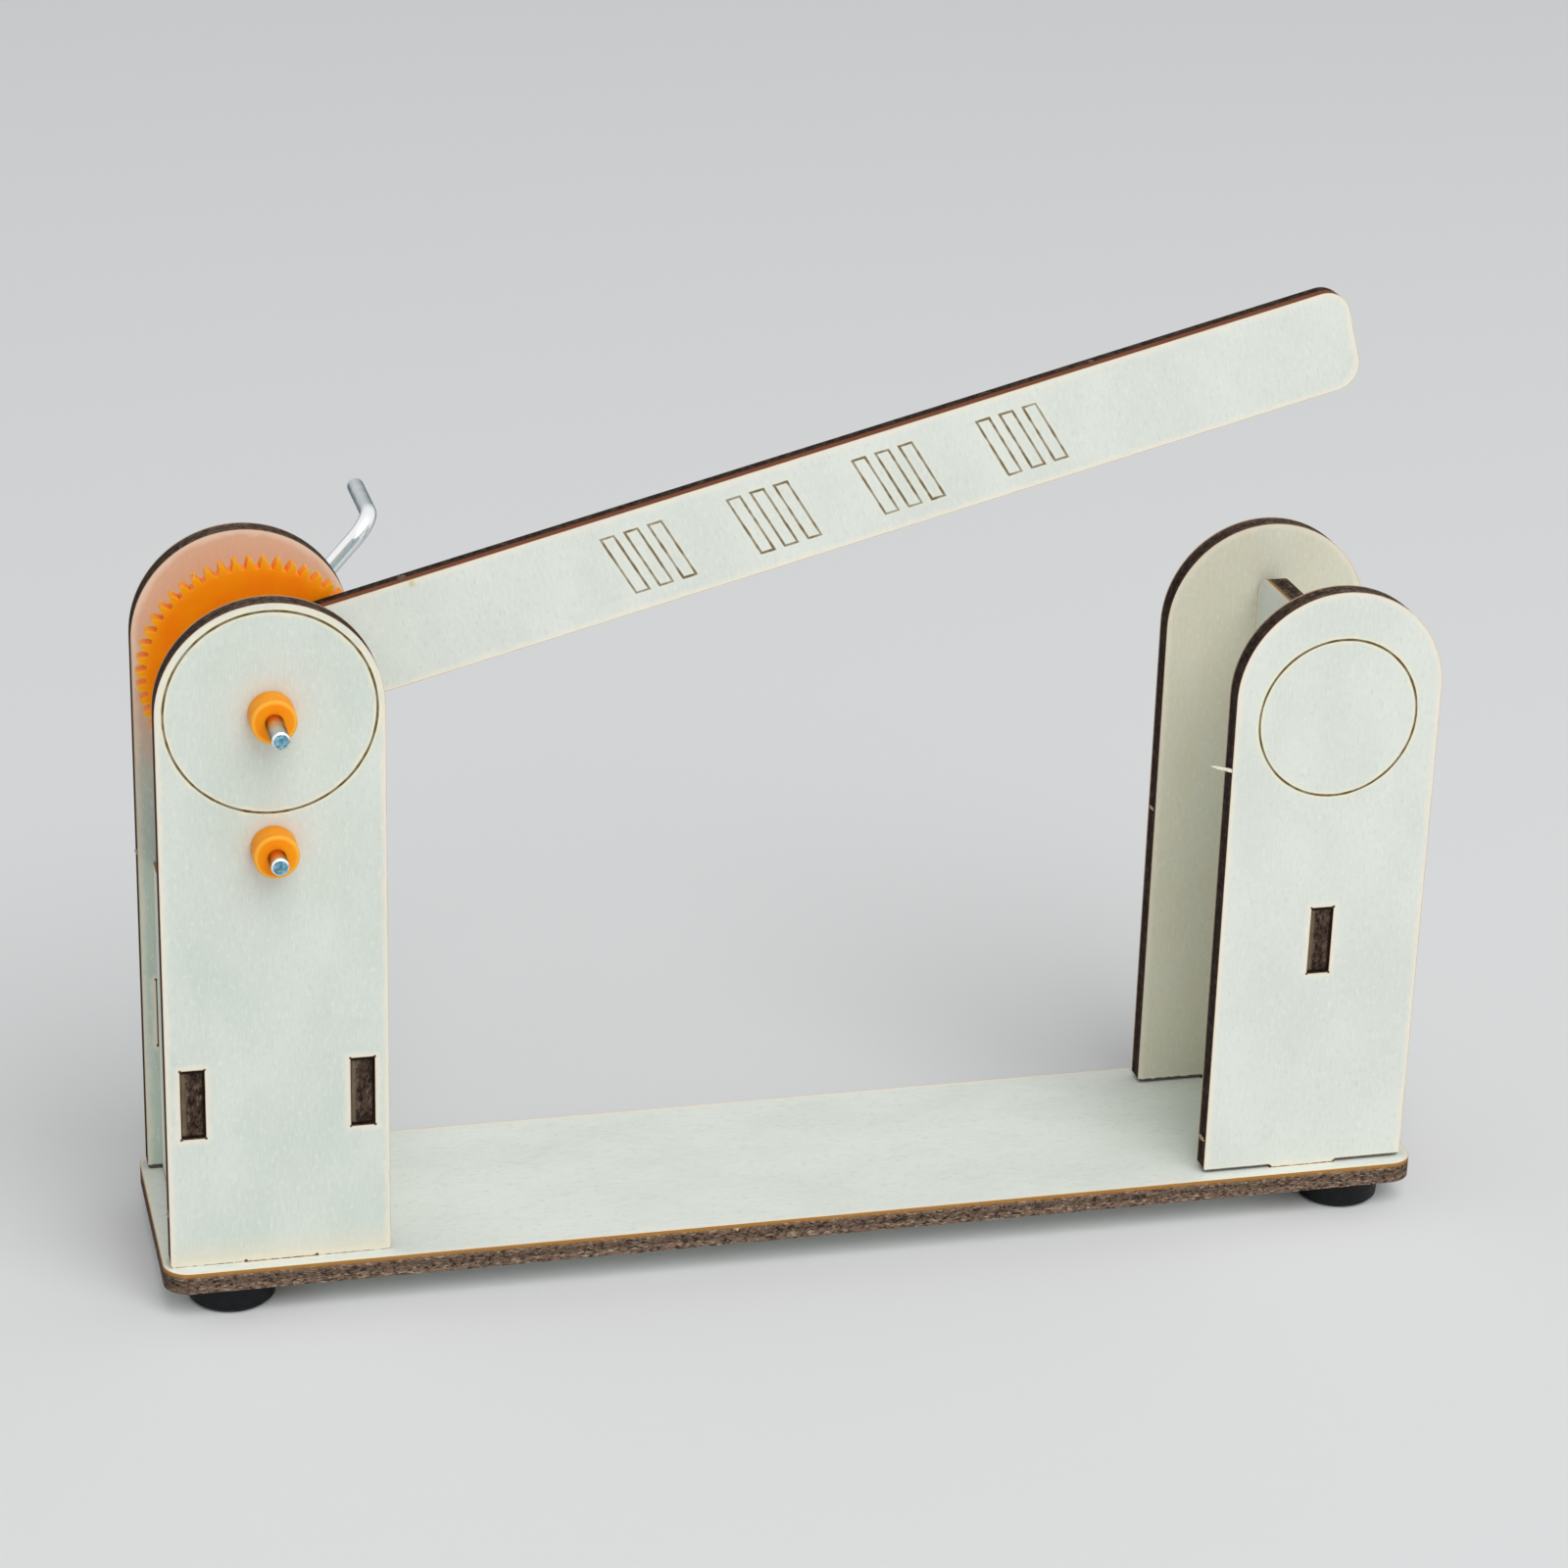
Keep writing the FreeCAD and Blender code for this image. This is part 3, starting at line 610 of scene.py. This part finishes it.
def panel_layout(
    middle_x, arch_z, front_y, slots, holes, ring=None, glow=False, shoulder=0, **tones
):
    """An upright panel with its slots and holes, and a ring of given height and radius.

    glow tints the face near the gear or the bushes, and tones are the veneer's brighter wood,
    painted warm bounce light and painted shade.
    """
    is_front = front_y < 0

    def layout(recipe, x, y, z):
        cut = inside_arch(recipe, x, z, middle_x, arch_z)
        for slot in slots:
            cut = cut.at_most(outside_box(recipe, x, z, slot, SLOT_HALF_WIDTH, SLOT_HALF_HEIGHT))
        for hole_z in holes:
            hole = outside_circle(recipe, x, z, (middle_x, hole_z), SHAFT_HOLE_RADIUS)
            cut = cut.at_most(hole)
        depth = y - front_y
        sheet = {
            "along": z, "across": x, "depth": depth, "axis": 1, "cut": cut, "soot": 0.5,
            "rim": depth, "amber": 0.35, "rim_tone": EMBER,
            "highlit_back_rim": recipe.math("SUBTRACT", PLY, depth),
            "burn_and_shadow": burnt_spots_and_foot_shadow(recipe, x, z, middle_x, is_front, slots, shoulder),
            **tones,
        }
        if glow and is_front:
            near = from_nearer_shaft(recipe, x, z)
            sheet["glow"] = near / BUSH_GLOW_REACH + BUSH_GLOW_START + depth
            sheet["foot"] = z - PLY
        elif glow:
            sheet["glow"] = from_boom_shaft(recipe, x, z) / GEAR_GLOW_REACH + depth * 0.5
        if ring:
            ring_z, radius = ring
            line = outside_circle(recipe, x, z, (middle_x, ring_z), radius).size()
            sheet["engraved"] = line + off_front(recipe, depth)
            sheet["engraved_rim"] = 0.6
        return sheet
    return layout


print(f"shaft holes are {2 * SHAFT_HOLE_RADIUS:.1f} mm across")

# %% [markdown]
# ## Dressing the tower
# The tower's two panels share their slots and shaft holes. The front one has the ring and gets
# only a little painted shade. The rear one is in the shade of the other and of the gear, so it
# gets much more painted shade.

# %% Dress the tower's panels
TIE_TAB_Z = PLY + 20.05
TOWER_RING = (BOOM_AXIS_Z, 11.5)
tie_slots = [(middle_mm(node).x, TIE_TAB_Z) for node in ("tower_tie_left", "tower_tie_right")]
shaft_holes = [BOOM_AXIS_Z, CRANK_AXIS_Z]

# Painted shade: a little on the front panel, much more on the rear one, which stands behind it.
tower_front = panel_layout(
    TOWER_X, BOOM_AXIS_Z, PANEL_FRONT_Y, tie_slots, shaft_holes,
    ring=TOWER_RING, glow=True, shade=0.15,
)
tower_rear = panel_layout(
    TOWER_X, BOOM_AXIS_Z, PANEL_REAR_Y, tie_slots, shaft_holes, glow=True, shade=0.72
)
dress(plywood("ply_tower_front_panel", tower_front), "tower_front_panel")
dress(plywood("ply_tower_rear_panel", tower_rear), "tower_rear_panel")

# %% [markdown]
# ## Dressing the post
# The post's panels are lower and have one slot each, for the rest plate. The rear one gets
# painted warm bounce light on its front face. The front one stands a little off the base beside
# its tab, and its shoulders are burnt dark there.

# %% Dress the post's panels
REST_TAB_Z = PLY + 29.3
POST_ARCH_Z = post_high.z - PANEL_HALF_WIDTH
POST_RING = (PLY + 57.1, 9.5)
POST_SHOULDER = 0.3
rest_slot = [(POST_X, REST_TAB_Z)]

post_front = panel_layout(
    POST_X, POST_ARCH_Z, PANEL_FRONT_Y, rest_slot, [], ring=POST_RING, shoulder=POST_SHOULDER
)
# Painted warm bounce light on the rear panel's front face, which looks into the gap.
post_rear = panel_layout(POST_X, POST_ARCH_Z, PANEL_REAR_Y, rest_slot, [], warm=0.4)
dress(plywood("ply_post_front_panel", post_front), "post_front_panel")
dress(plywood("ply_post_rear_panel", post_rear), "post_rear_panel")

# %% [markdown]
# ## The plates across the gap
# Two ties hold the tower's panels together and one rest plate joins the post's. The ends of their
# tabs show in the panels' slots, as dark blocks with one tan ply and a sooty rim, so this layout
# also measures how far a point is from the tab's own edges.

# %% Dress the cross plates
TAB_END_GAP = 0.2
CROSS_FOOT_SHADOW = 0.2


def cross_layout(node, tab_z):
    """An upright plate across the gap, thin along X, with tabs at a given height."""
    low, high = box_mm(node)

    def layout(recipe, x, y, z):
        cut = recipe.math("SUBTRACT", PANEL_REAR_Y, y.size()).at_most(z - PLY)
        cut = cut.at_most(recipe.math("SUBTRACT", high.z, z))
        depth = x - low.x
        tab_half_height = SLOT_HALF_HEIGHT - TAB_END_GAP
        tab_rim = recipe.math("SUBTRACT", tab_half_height, (z - tab_z).size())
        tab_rim = tab_rim.at_most(recipe.math("SUBTRACT", PLY, depth)).size()
        return {
            "along": z, "across": y, "depth": depth, "axis": 0, "cut": cut, "soot": 0.72,
            "rim": depth, "amber": recipe.facing(2) * 0.75, "tab_rim": tab_rim,
            # Painted contact shadow: a dark line along the plate's foot.
            "burn_and_shadow": z - PLY - CROSS_FOOT_SHADOW,
        }
    return layout


cross_plates = {
    "tower_tie_left": TIE_TAB_Z, "tower_tie_right": TIE_TAB_Z, "post_rest_plate": REST_TAB_Z,
}
for node, tab_z in cross_plates.items():
    dress(plywood("ply_" + node, cross_layout(node, tab_z)), node)

# %% [markdown]
# ## The arm's warning bars
# The arm carries four groups of slanted bars, as any road barrier does, engraved as thin outlines.
# `FLOORED_MODULO` repeats one formula along the arm: first for the groups, then for the three bars
# of a group. A bar is a sheared box, so its outline is where the box distance is zero.

# %% Warning bars
GROUP_FIRST = 44.8
GROUP_PITCH = 14.65
GROUP_COUNT = 4
BARS_IN_GROUP = 3
BAR_PITCH = 2.75
BAR_HALF_WIDTH = 0.75
BAR_HALF_HEIGHT = 3.6
BAR_LEAN = 0.32
SHARP = 0.01


def repeat(recipe, value, pitch):
    """Fold a coordinate so that it runs from minus to plus half a pitch, again and again."""
    return recipe.math("FLOORED_MODULO", value + pitch / 2, pitch) - pitch / 2


def warning_bars(recipe, reach, rise):
    """Distance from the outlines of the slanted bars."""
    from_group = repeat(recipe, reach - GROUP_FIRST, GROUP_PITCH) + rise * BAR_LEAN
    from_bar = repeat(recipe, from_group, BAR_PITCH)
    past_side = (from_bar.size() - BAR_HALF_WIDTH) * math.cos(math.atan(BAR_LEAN))
    outline = past_side.at_least(rise.size() - BAR_HALF_HEIGHT).size()
    group_half = BARS_IN_GROUP * BAR_PITCH / 2
    row_half = GROUP_COUNT * GROUP_PITCH / 2
    row_middle = GROUP_FIRST + (GROUP_COUNT - 1) * GROUP_PITCH / 2
    from_row = (reach - row_middle).size()
    beyond_group = recipe.ramp(from_group.size(), group_half - SHARP, group_half, 0.0, FAR_AWAY)
    beyond_row = recipe.ramp(from_row, row_half - SHARP, row_half, 0.0, FAR_AWAY)
    return outline + beyond_group + beyond_row


print(GROUP_COUNT, "groups of", BARS_IN_GROUP, "bars,", GROUP_PITCH, "mm apart")

# %% [markdown]
# ## The arm
# The arm is one long strip, drawn in the pose of the photograph, so its layout first turns the
# point being shaded into `reach` along the arm and `rise` across it. Material places are those of
# the rest pose, and they move with the arm. Its edge is two-toned: reddish brown towards the
# front and nearly black behind. A yellow blot lies beside the nib that is nearer to the tower.

# %% Dress the arm
BOOM_ANGLE = math.radians(15.15)
BOOM_COSINE, BOOM_SINE = math.cos(BOOM_ANGLE), math.sin(BOOM_ANGLE)
BOOM_HALF_WIDTH = 5.85
BOOM_REACH = 128.8
BOOM_CORNER = 3.0
BOOM_EMBER_DEPTH = 0.75
BOOM_FRONT_Y = box_mm("boom_arm")[0].y
STAIN_REACH = 18.9
STAIN_RISE = 5.3


def boom_layout(recipe, x, y, z):
    reach = (x - TOWER_X) * BOOM_COSINE + (z - BOOM_AXIS_Z) * BOOM_SINE
    rise = (z - BOOM_AXIS_Z) * BOOM_COSINE - (x - TOWER_X) * BOOM_SINE
    middle = (BOOM_REACH - BOOM_HALF_WIDTH) / 2
    half_length = (BOOM_REACH + BOOM_HALF_WIDTH) / 2
    depth = y - BOOM_FRONT_Y
    return {
        "along": rise, "across": reach, "depth": depth, "axis": 1, "soot": 0.85,
        "cut": inside_rounded_box(
            recipe, reach - middle, rise, half_length, BOOM_HALF_WIDTH, BOOM_CORNER
        ),
        "rim": depth - BOOM_EMBER_DEPTH, "amber": 0.85, "amber_reach": 0.7, "rim_tone": EMBER,
        "stain": recipe.length(reach - STAIN_REACH, rise - STAIN_RISE),
        "engraved": warning_bars(recipe, reach, rise) + off_front(recipe, depth),
        "engraved_rim": 0.2,
    }


dress(plywood("ply_boom_arm", boom_layout), "boom_arm")

# %% [markdown]
# ## Moulded orange plastic
# The gear is a bright, slightly translucent orange: light enters the thin teeth and comes out
# paler and yellower than the thick disc. Subsurface scattering gives the softness, and the colour
# of the flat sides also shifts with the distance from the shaft: towards the teeth it turns paler
# and yellower, which is painted glow. The bushes are moulded in a yellower shade, and the same
# painted colour there is a painted highlight on their rim. The shine is kept low, because the
# real plastic is satin.

# %% Dress the plastic
PLASTIC_RELIEF = 0.01 * MM
SCATTER_DEPTH = 2.2 * MM
SCATTER_OF_RED_GREEN_BLUE = (1.0, 0.55, 0.12)


def moulded(name, body, pale, painted_rim_light, distance, rim, scatter):
    """Plastic with a body colour, a paler swirl, and painted rim light towards the rim.

    distance measures from a shaft, and rim says where the painted rim light starts and is full.
    """
    recipe = Recipe(name)
    x, y, z = recipe.place()
    swirl = recipe.noise(recipe.vector(x * 0.4, y * 0.4, z * 0.4), detail=2.0)
    grain = recipe.noise(recipe.vector(x * 6.0, y * 6.0, z * 6.0), detail=2.0)
    surface = recipe.mix(recipe.ramp(swirl, 0.3, 0.7), body, pale)
    # Painted light: glow in the gear's teeth and a highlight on the bushes' rim.
    rim_light_share = recipe.ramp(distance(recipe, x, z), *rim, 0.0, 0.85) * recipe.facing(1)
    recipe.bump(grain, PLASTIC_RELIEF)
    recipe.shader.inputs["Subsurface Radius"].default_value = SCATTER_OF_RED_GREEN_BLUE
    return recipe.set(
        Base_Color=recipe.mix(rim_light_share, surface, painted_rim_light),
        Roughness=recipe.ramp(grain, 0.3, 0.7, 0.4, 0.52),
        Specular_IOR_Level=0.18,
        Subsurface_Weight=scatter,
        Subsurface_Scale=SCATTER_DEPTH,
        IOR=1.42,
    )


gear_orange = moulded(
    "gear_orange", body=colour(255, 136, 0), pale=colour(255, 148, 0), painted_rim_light=colour(255, 164, 20),
    distance=from_boom_shaft, rim=(11.0, 12.7), scatter=0.9,
)
bush_orange = moulded(
    "bush_orange", body=colour(255, 146, 6), pale=colour(255, 158, 14), painted_rim_light=colour(255, 186, 74),
    distance=from_nearer_shaft, rim=(1.95, 2.3), scatter=0.5,
)
dress(gear_orange, "boom_gear", "crank_pinion")
dress(bush_orange, "boom_bush_front", "boom_bush_rear", "crank_bush_front", "crank_bush_rear")

# %% [markdown]
# ## Drawn steel
# The shaft and the crank are nickel-bright wire. Drawing leaves hair-fine lines along it, so the
# bump noise is stretched along Y. A round bar mirrors the dark room in a thin line at each side,
# which the shader's specular tint gives at grazing angles. Near its bush the wire takes on a
# painted orange reflection of the bush. Its sawn ends are blotchy, duller and bluish. The blue is
# a painted reflection, and their paler rim is a painted highlight.

# %% Dress the steel
STEEL_RELIEF = 0.005 * MM
STEEL_GRAZING = colour(110, 128, 134)
STEEL_BRIGHT = colour(252, 252, 253)
STEEL_SMUDGED = colour(240, 241, 243)
BUSH_REFLECTION = colour(240, 150, 70)
SAWN_DARK = colour(78, 132, 154)
SAWN_LIGHT = colour(146, 194, 210)
SAWN_RIM_HIGHLIGHT = colour(178, 202, 212)
BUSH_FRONT_Y = box_mm("boom_bush_front")[0].y


def drawn_steel(name):
    recipe = Recipe(name)
    x, y, z = recipe.place()
    lines = recipe.noise(recipe.vector(x * 14.0, y * 0.6, z * 14.0), detail=3.0)
    smudge = recipe.noise(recipe.vector(x * 0.6, y * 0.6, z * 0.6), detail=3.0)
    polished = recipe.mix(smudge, STEEL_SMUDGED, STEEL_BRIGHT)
    behind_front = y - BUSH_FRONT_Y
    # Painted reflection of the orange bush on the wire near it.
    near_bush = recipe.ramp(behind_front, -2.4, -0.4, 0.0, 0.9)
    near_bush = near_bush * recipe.ramp(behind_front, 0.1, 0.5, 1.0, 0.0)
    polished = recipe.mix(near_bush, polished, BUSH_REFLECTION)

    sawn = recipe.ramp(recipe.facing(1), 0.97, 0.995)
    sawn_mark = recipe.noise(recipe.vector(x * 2.2, y, z * 2.2), detail=3.0, roughness=0.7)
    # Painted reflection and highlight: the sawn end is tinted blue, with a pale ring at its rim.
    rim_highlight_reach = from_nearer_shaft(recipe, x, z) + (sawn_mark - 0.5) * 0.4
    sawn_tone = recipe.mix(recipe.ramp(sawn_mark, 0.38, 0.62), SAWN_DARK, SAWN_LIGHT)
    sawn_tone = recipe.mix(recipe.ramp(rim_highlight_reach, 0.76, 0.92), sawn_tone, SAWN_RIM_HIGHLIGHT)

    recipe.bump(lines, STEEL_RELIEF)
    recipe.shader.inputs["Specular Tint"].default_value = STEEL_GRAZING
    return recipe.set(
        Base_Color=recipe.mix(sawn, polished, sawn_tone),
        Metallic=1.0,
        Roughness=recipe.ramp(smudge, 0.3, 0.7, 0.16, 0.26) + sawn * 0.2,
    )


dress(drawn_steel("drawn_steel"), "boom_shaft", "crank_rod")

# %% [markdown]
# ## Rubber feet
# The toy stands on four black pads. Rubber has little shine, a fine uneven skin and a faint dusty
# bloom, so a slow noise drives both its colour and its roughness, and a fast one its bump.

# %% Dress the rubber
RUBBER_RELIEF = 0.03 * MM
RUBBER_BLACK = colour(4, 7, 9)
RUBBER_BLOOM = colour(15, 20, 23)


def rubber(name):
    recipe = Recipe(name)
    x, y, z = recipe.place()
    bloom = recipe.noise(recipe.vector(x * 0.9, y * 0.9, z * 1.4), detail=4.0)
    skin = recipe.noise(recipe.vector(x * 5.0, y * 5.0, z * 5.0), detail=3.0)
    recipe.bump(skin, RUBBER_RELIEF)
    return recipe.set(
        Base_Color=recipe.mix(recipe.ramp(bloom, 0.4, 0.75), RUBBER_BLACK, RUBBER_BLOOM),
        Roughness=recipe.ramp(bloom, 0.3, 0.7, 0.4, 0.6),
        IOR=1.3,
    )


FEET = [name for name in nodes if name.startswith("rubber_foot")]
dress(rubber("black_rubber"), *FEET)

# %% [markdown]
# ## Nibs that the sheet left behind
# Laser-cut pieces stay in their sheet by a few uncut bridges. When a piece is snapped out, each
# bridge leaves a small ragged stub of wood on the cut edge: dark on the arm, lighter elsewhere.
# They are too small and too random for CAD, so they are made here, in three woods.

# %% Nib woods
NIB_RELIEF = 0.03 * MM


def torn_wood(name, dark, light):
    recipe = Recipe(name)
    x, y, z = recipe.place()
    fibre = recipe.noise(recipe.vector(x * 9.0, y * 9.0, z * 4.0), detail=3.0)
    recipe.bump(fibre, NIB_RELIEF)
    return recipe.set(
        Base_Color=recipe.mix(recipe.ramp(fibre, 0.35, 0.6), dark, light),
        Roughness=recipe.ramp(fibre, 0.3, 0.7, 0.7, 0.9),
    )


nib_wood = torn_wood("nib_wood", colour(118, 92, 70), colour(206, 186, 156))
nib_char = torn_wood("nib_char", colour(46, 32, 26), colour(112, 84, 64))
fresh_wood = torn_wood("fresh_wood", colour(214, 204, 178), colour(242, 240, 222))
print("woods:", nib_wood.name, nib_char.name, fresh_wood.name)

# %% [markdown]
# ## The shape of a nib
# Each stub is a short loft: rings that shrink outwards, with uneven radii, its root sunk into the
# wood so that no gap shows. A nib's name seeds its own random numbers, so it comes out the same
# every time, whatever else is made before it.

# %% Nib shape
NIB_RINGS = 6
NIB_SIDES = 14
NIB_ROOT = 0.08
NIB_ROUGH = 0.03
NIB_TIP_SHARE = 0.12


def nib_rings(mesh, name, place, outward, lengthwise, size, blunt):
    """The nib's rings of vertices, from its root to its tip."""
    sideways = outward.cross(lengthwise)
    length, thickness, height = size
    draw = random.Random(name)
    uneven = [draw.uniform(0.8, 1.15) for _ in range(NIB_SIDES)]
    rings = []
    for level in range(NIB_RINGS):
        share = level / (NIB_RINGS - 1)
        taper = math.cos(share * math.pi / 2) ** blunt
        ring = []
        for side in range(NIB_SIDES):
            turned = 2 * math.pi * side / NIB_SIDES
            wide = max(taper, NIB_TIP_SHARE) * uneven[side] * draw.uniform(0.92, 1.08)
            rough = draw.uniform(0, NIB_ROUGH)
            corner = (
                place
                + lengthwise * (math.cos(turned) * length / 2 * wide)
                + sideways * (math.sin(turned) * thickness / 2 * wide)
                + outward * (share * (height + NIB_ROOT) - NIB_ROOT + rough)
            )
            ring.append(mesh.verts.new(corner * MM))
        rings.append(ring)
    return rings


def make_nib(name, body, place, outward, lengthwise, size, wood=nib_wood, blunt=0.6):
    """A ragged stub at a place in millimetres. Size is length, thickness and height."""
    outward = Vector(outward).normalized()
    lengthwise = Vector(lengthwise).normalized()
    mesh = bmesh.new()
    rings = nib_rings(mesh, name, Vector(place), outward, lengthwise, size, blunt)
    for low, high in zip(rings, rings[1:]):
        for side in range(NIB_SIDES):
            after = (side + 1) % NIB_SIDES
            mesh.faces.new((low[side], low[after], high[after], high[side]))
    mesh.faces.new(list(reversed(rings[0])))
    mesh.faces.new(rings[-1])
    bmesh.ops.recalc_face_normals(mesh, faces=mesh.faces)
    data = bpy.data.meshes.new(name)
    mesh.to_mesh(data)
    mesh.free()
    data.materials.append(wood)
    piece = bpy.data.objects.new(name, data)
    bpy.context.scene.collection.objects.link(piece)
    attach(piece, body)
    print(name, "at", [round(value, 1) for value in place])


print("a nib is made of", NIB_RINGS, "rings of", NIB_SIDES, "vertices")

# %% [markdown]
# ## Nibs on the base, the arm and the panels
# One nib shows on the base's front edge, two on the arm's upper edge and one on the left edge of
# each panel. Each rides on the body that it grows from, so the arm's nibs swing with the arm.

# %% Place the nibs
ARM_ALONG = (BOOM_COSINE, 0, BOOM_SINE)
ARM_UP = (-BOOM_SINE, 0, BOOM_COSINE)
BASE_NIB_X = -9.1


def arm_nib(name, reach, size):
    """A charred nib on the arm's upper edge, at a reach from its shaft."""
    x = TOWER_X + reach * BOOM_COSINE - BOOM_HALF_WIDTH * BOOM_SINE
    z = BOOM_AXIS_Z + reach * BOOM_SINE + BOOM_HALF_WIDTH * BOOM_COSINE
    make_nib(name, "boom", (x, BOOM_FRONT_Y + PLY / 2, z), ARM_UP, ARM_ALONG, size, nib_char)


def panel_nib(name, left_x, front_y, height, size=(0.5, 1.4, 0.2)):
    """A nib on the left edge of an upright panel."""
    make_nib(name, "frame", (left_x, front_y + PLY / 2, height), (-1, 0, 0), (0, 0, 1), size)


base_place = (BASE_NIB_X, base_low.y, PLY * 0.75)
make_nib("nib_base_front", "frame", base_place, (0, -1, 0), (1, 0, 0), (0.7, 0.5, 0.2))
arm_nib("nib_arm_far", reach=98.6, size=(0.7, 1.6, 0.2))
arm_nib("nib_arm_near", reach=18.1, size=(1.1, 1.9, 0.2))
panel_nib("nib_tower_front", tower_low.x, PANEL_FRONT_Y, height=8.7)
panel_nib("nib_tower_rear", tower_low.x, PANEL_REAR_Y, height=42.4)
panel_nib("nib_post_front", post_low.x, PANEL_FRONT_Y, height=6.6, size=(0.5, 1.8, 0.25))
panel_nib("nib_post_rear", post_low.x, PANEL_REAR_Y, height=38.9)

# %% [markdown]
# ## The splinter at the post
# One splinter of fresh wood stands out of the post's left edge. It is a nib like the others, but
# long, thin and nearly white, and it leans upwards. A low `blunt` keeps it thick up to its tip.

# %% Place the splinter
SPLINTER_INSET = 0.3
SPLINTER_HEIGHT = 53.9
SPLINTER_LEAN = 0.28
SPLINTER_SIZE = (0.55, 0.42, 2.6)

make_nib(
    "nib_post_splinter", "frame",
    place=(post_low.x, PANEL_FRONT_Y + SPLINTER_INSET, SPLINTER_HEIGHT),
    outward=(-1, 0, SPLINTER_LEAN), lengthwise=(0, 1, 0),
    size=SPLINTER_SIZE, wood=fresh_wood, blunt=0.3,
)

# %% [markdown] ## The floor A studio table of plain pale paper, much larger than the toy, so
# that its edge never shows. It touches the feet from below.

# %% Floor
FLOOR_Z = box_mm(FEET[0])[0].z * MM
FLOOR_HALF = 3.0
FLOOR_PALE = colour(226, 227, 228)

floor_mesh = bpy.data.meshes.new("floor")
floor_mesh.from_pydata(
    [(-FLOOR_HALF, -FLOOR_HALF, FLOOR_Z), (FLOOR_HALF, -FLOOR_HALF, FLOOR_Z),
     (FLOOR_HALF, FLOOR_HALF, FLOOR_Z), (-FLOOR_HALF, FLOOR_HALF, FLOOR_Z)],
    [], [(0, 1, 2, 3)],
)
floor = bpy.data.objects.new("floor", floor_mesh)
bpy.context.scene.collection.objects.link(floor)
floor_paper = Recipe("floor_paper")
floor_paper.set(Base_Color=FLOOR_PALE, Roughness=0.9)
floor_mesh.materials.append(floor_paper.material)
print(f"floor at z {FLOOR_Z / MM:.2f} mm")

# %% [markdown]
# ## The lamps
# The photograph has soft light from above and in front, without one hard shadow. Two broad discs
# give that: a key lamp high in front and a weaker panel lower down and further away, which lights
# the upright faces. The broader a lamp is, the softer its shadow.

# %% Lamps
LAMP_AIM = Vector((0.0, 0.0, 0.04))


def soft_lamp(name, place, width, power):
    data = bpy.data.lights.new(name, "AREA")
    data.shape = "DISK"
    data.size = width
    data.energy = power
    lamp = bpy.data.objects.new(name, data)
    bpy.context.scene.collection.objects.link(lamp)
    lamp.location = place
    lamp.rotation_mode = "QUATERNION"
    lamp.rotation_quaternion = (LAMP_AIM - Vector(place)).to_track_quat("-Z", "Y")
    print(name, "of", power, "watts at", place)


soft_lamp("key_lamp", place=(0.3, -1.2, 1.8), width=1.8, power=24.0)
soft_lamp("front_panel", place=(0.3, -2.2, 0.9), width=2.2, power=8.5)

# %% [markdown]
# ## The world
# An even white world fills the shadows. Bright steel and satin plastic mirror a lighter studio
# than the one that lights the wood, so the world is brighter for glossy rays, which `Light Path`
# can tell from the others.

# %% World
WORLD_LEVEL = 0.49
MIRRORED_LEVEL = 0.95

world = bpy.data.worlds.new("studio_world")
world.use_nodes = True
background = world.node_tree.nodes["Background"]
background.inputs["Color"].default_value = (1.0, 1.0, 1.0, 1.0)
ray = world.node_tree.nodes.new("ShaderNodeLightPath")
strength = world.node_tree.nodes.new("ShaderNodeMix")
strength.inputs["A"].default_value = WORLD_LEVEL
strength.inputs["B"].default_value = MIRRORED_LEVEL
world.node_tree.links.new(ray.outputs["Is Glossy Ray"], strength.inputs["Factor"])
world.node_tree.links.new(strength.outputs["Result"], background.inputs["Strength"])
bpy.context.scene.world = world
print("world level", WORLD_LEVEL, "and", MIRRORED_LEVEL, "in mirrors")
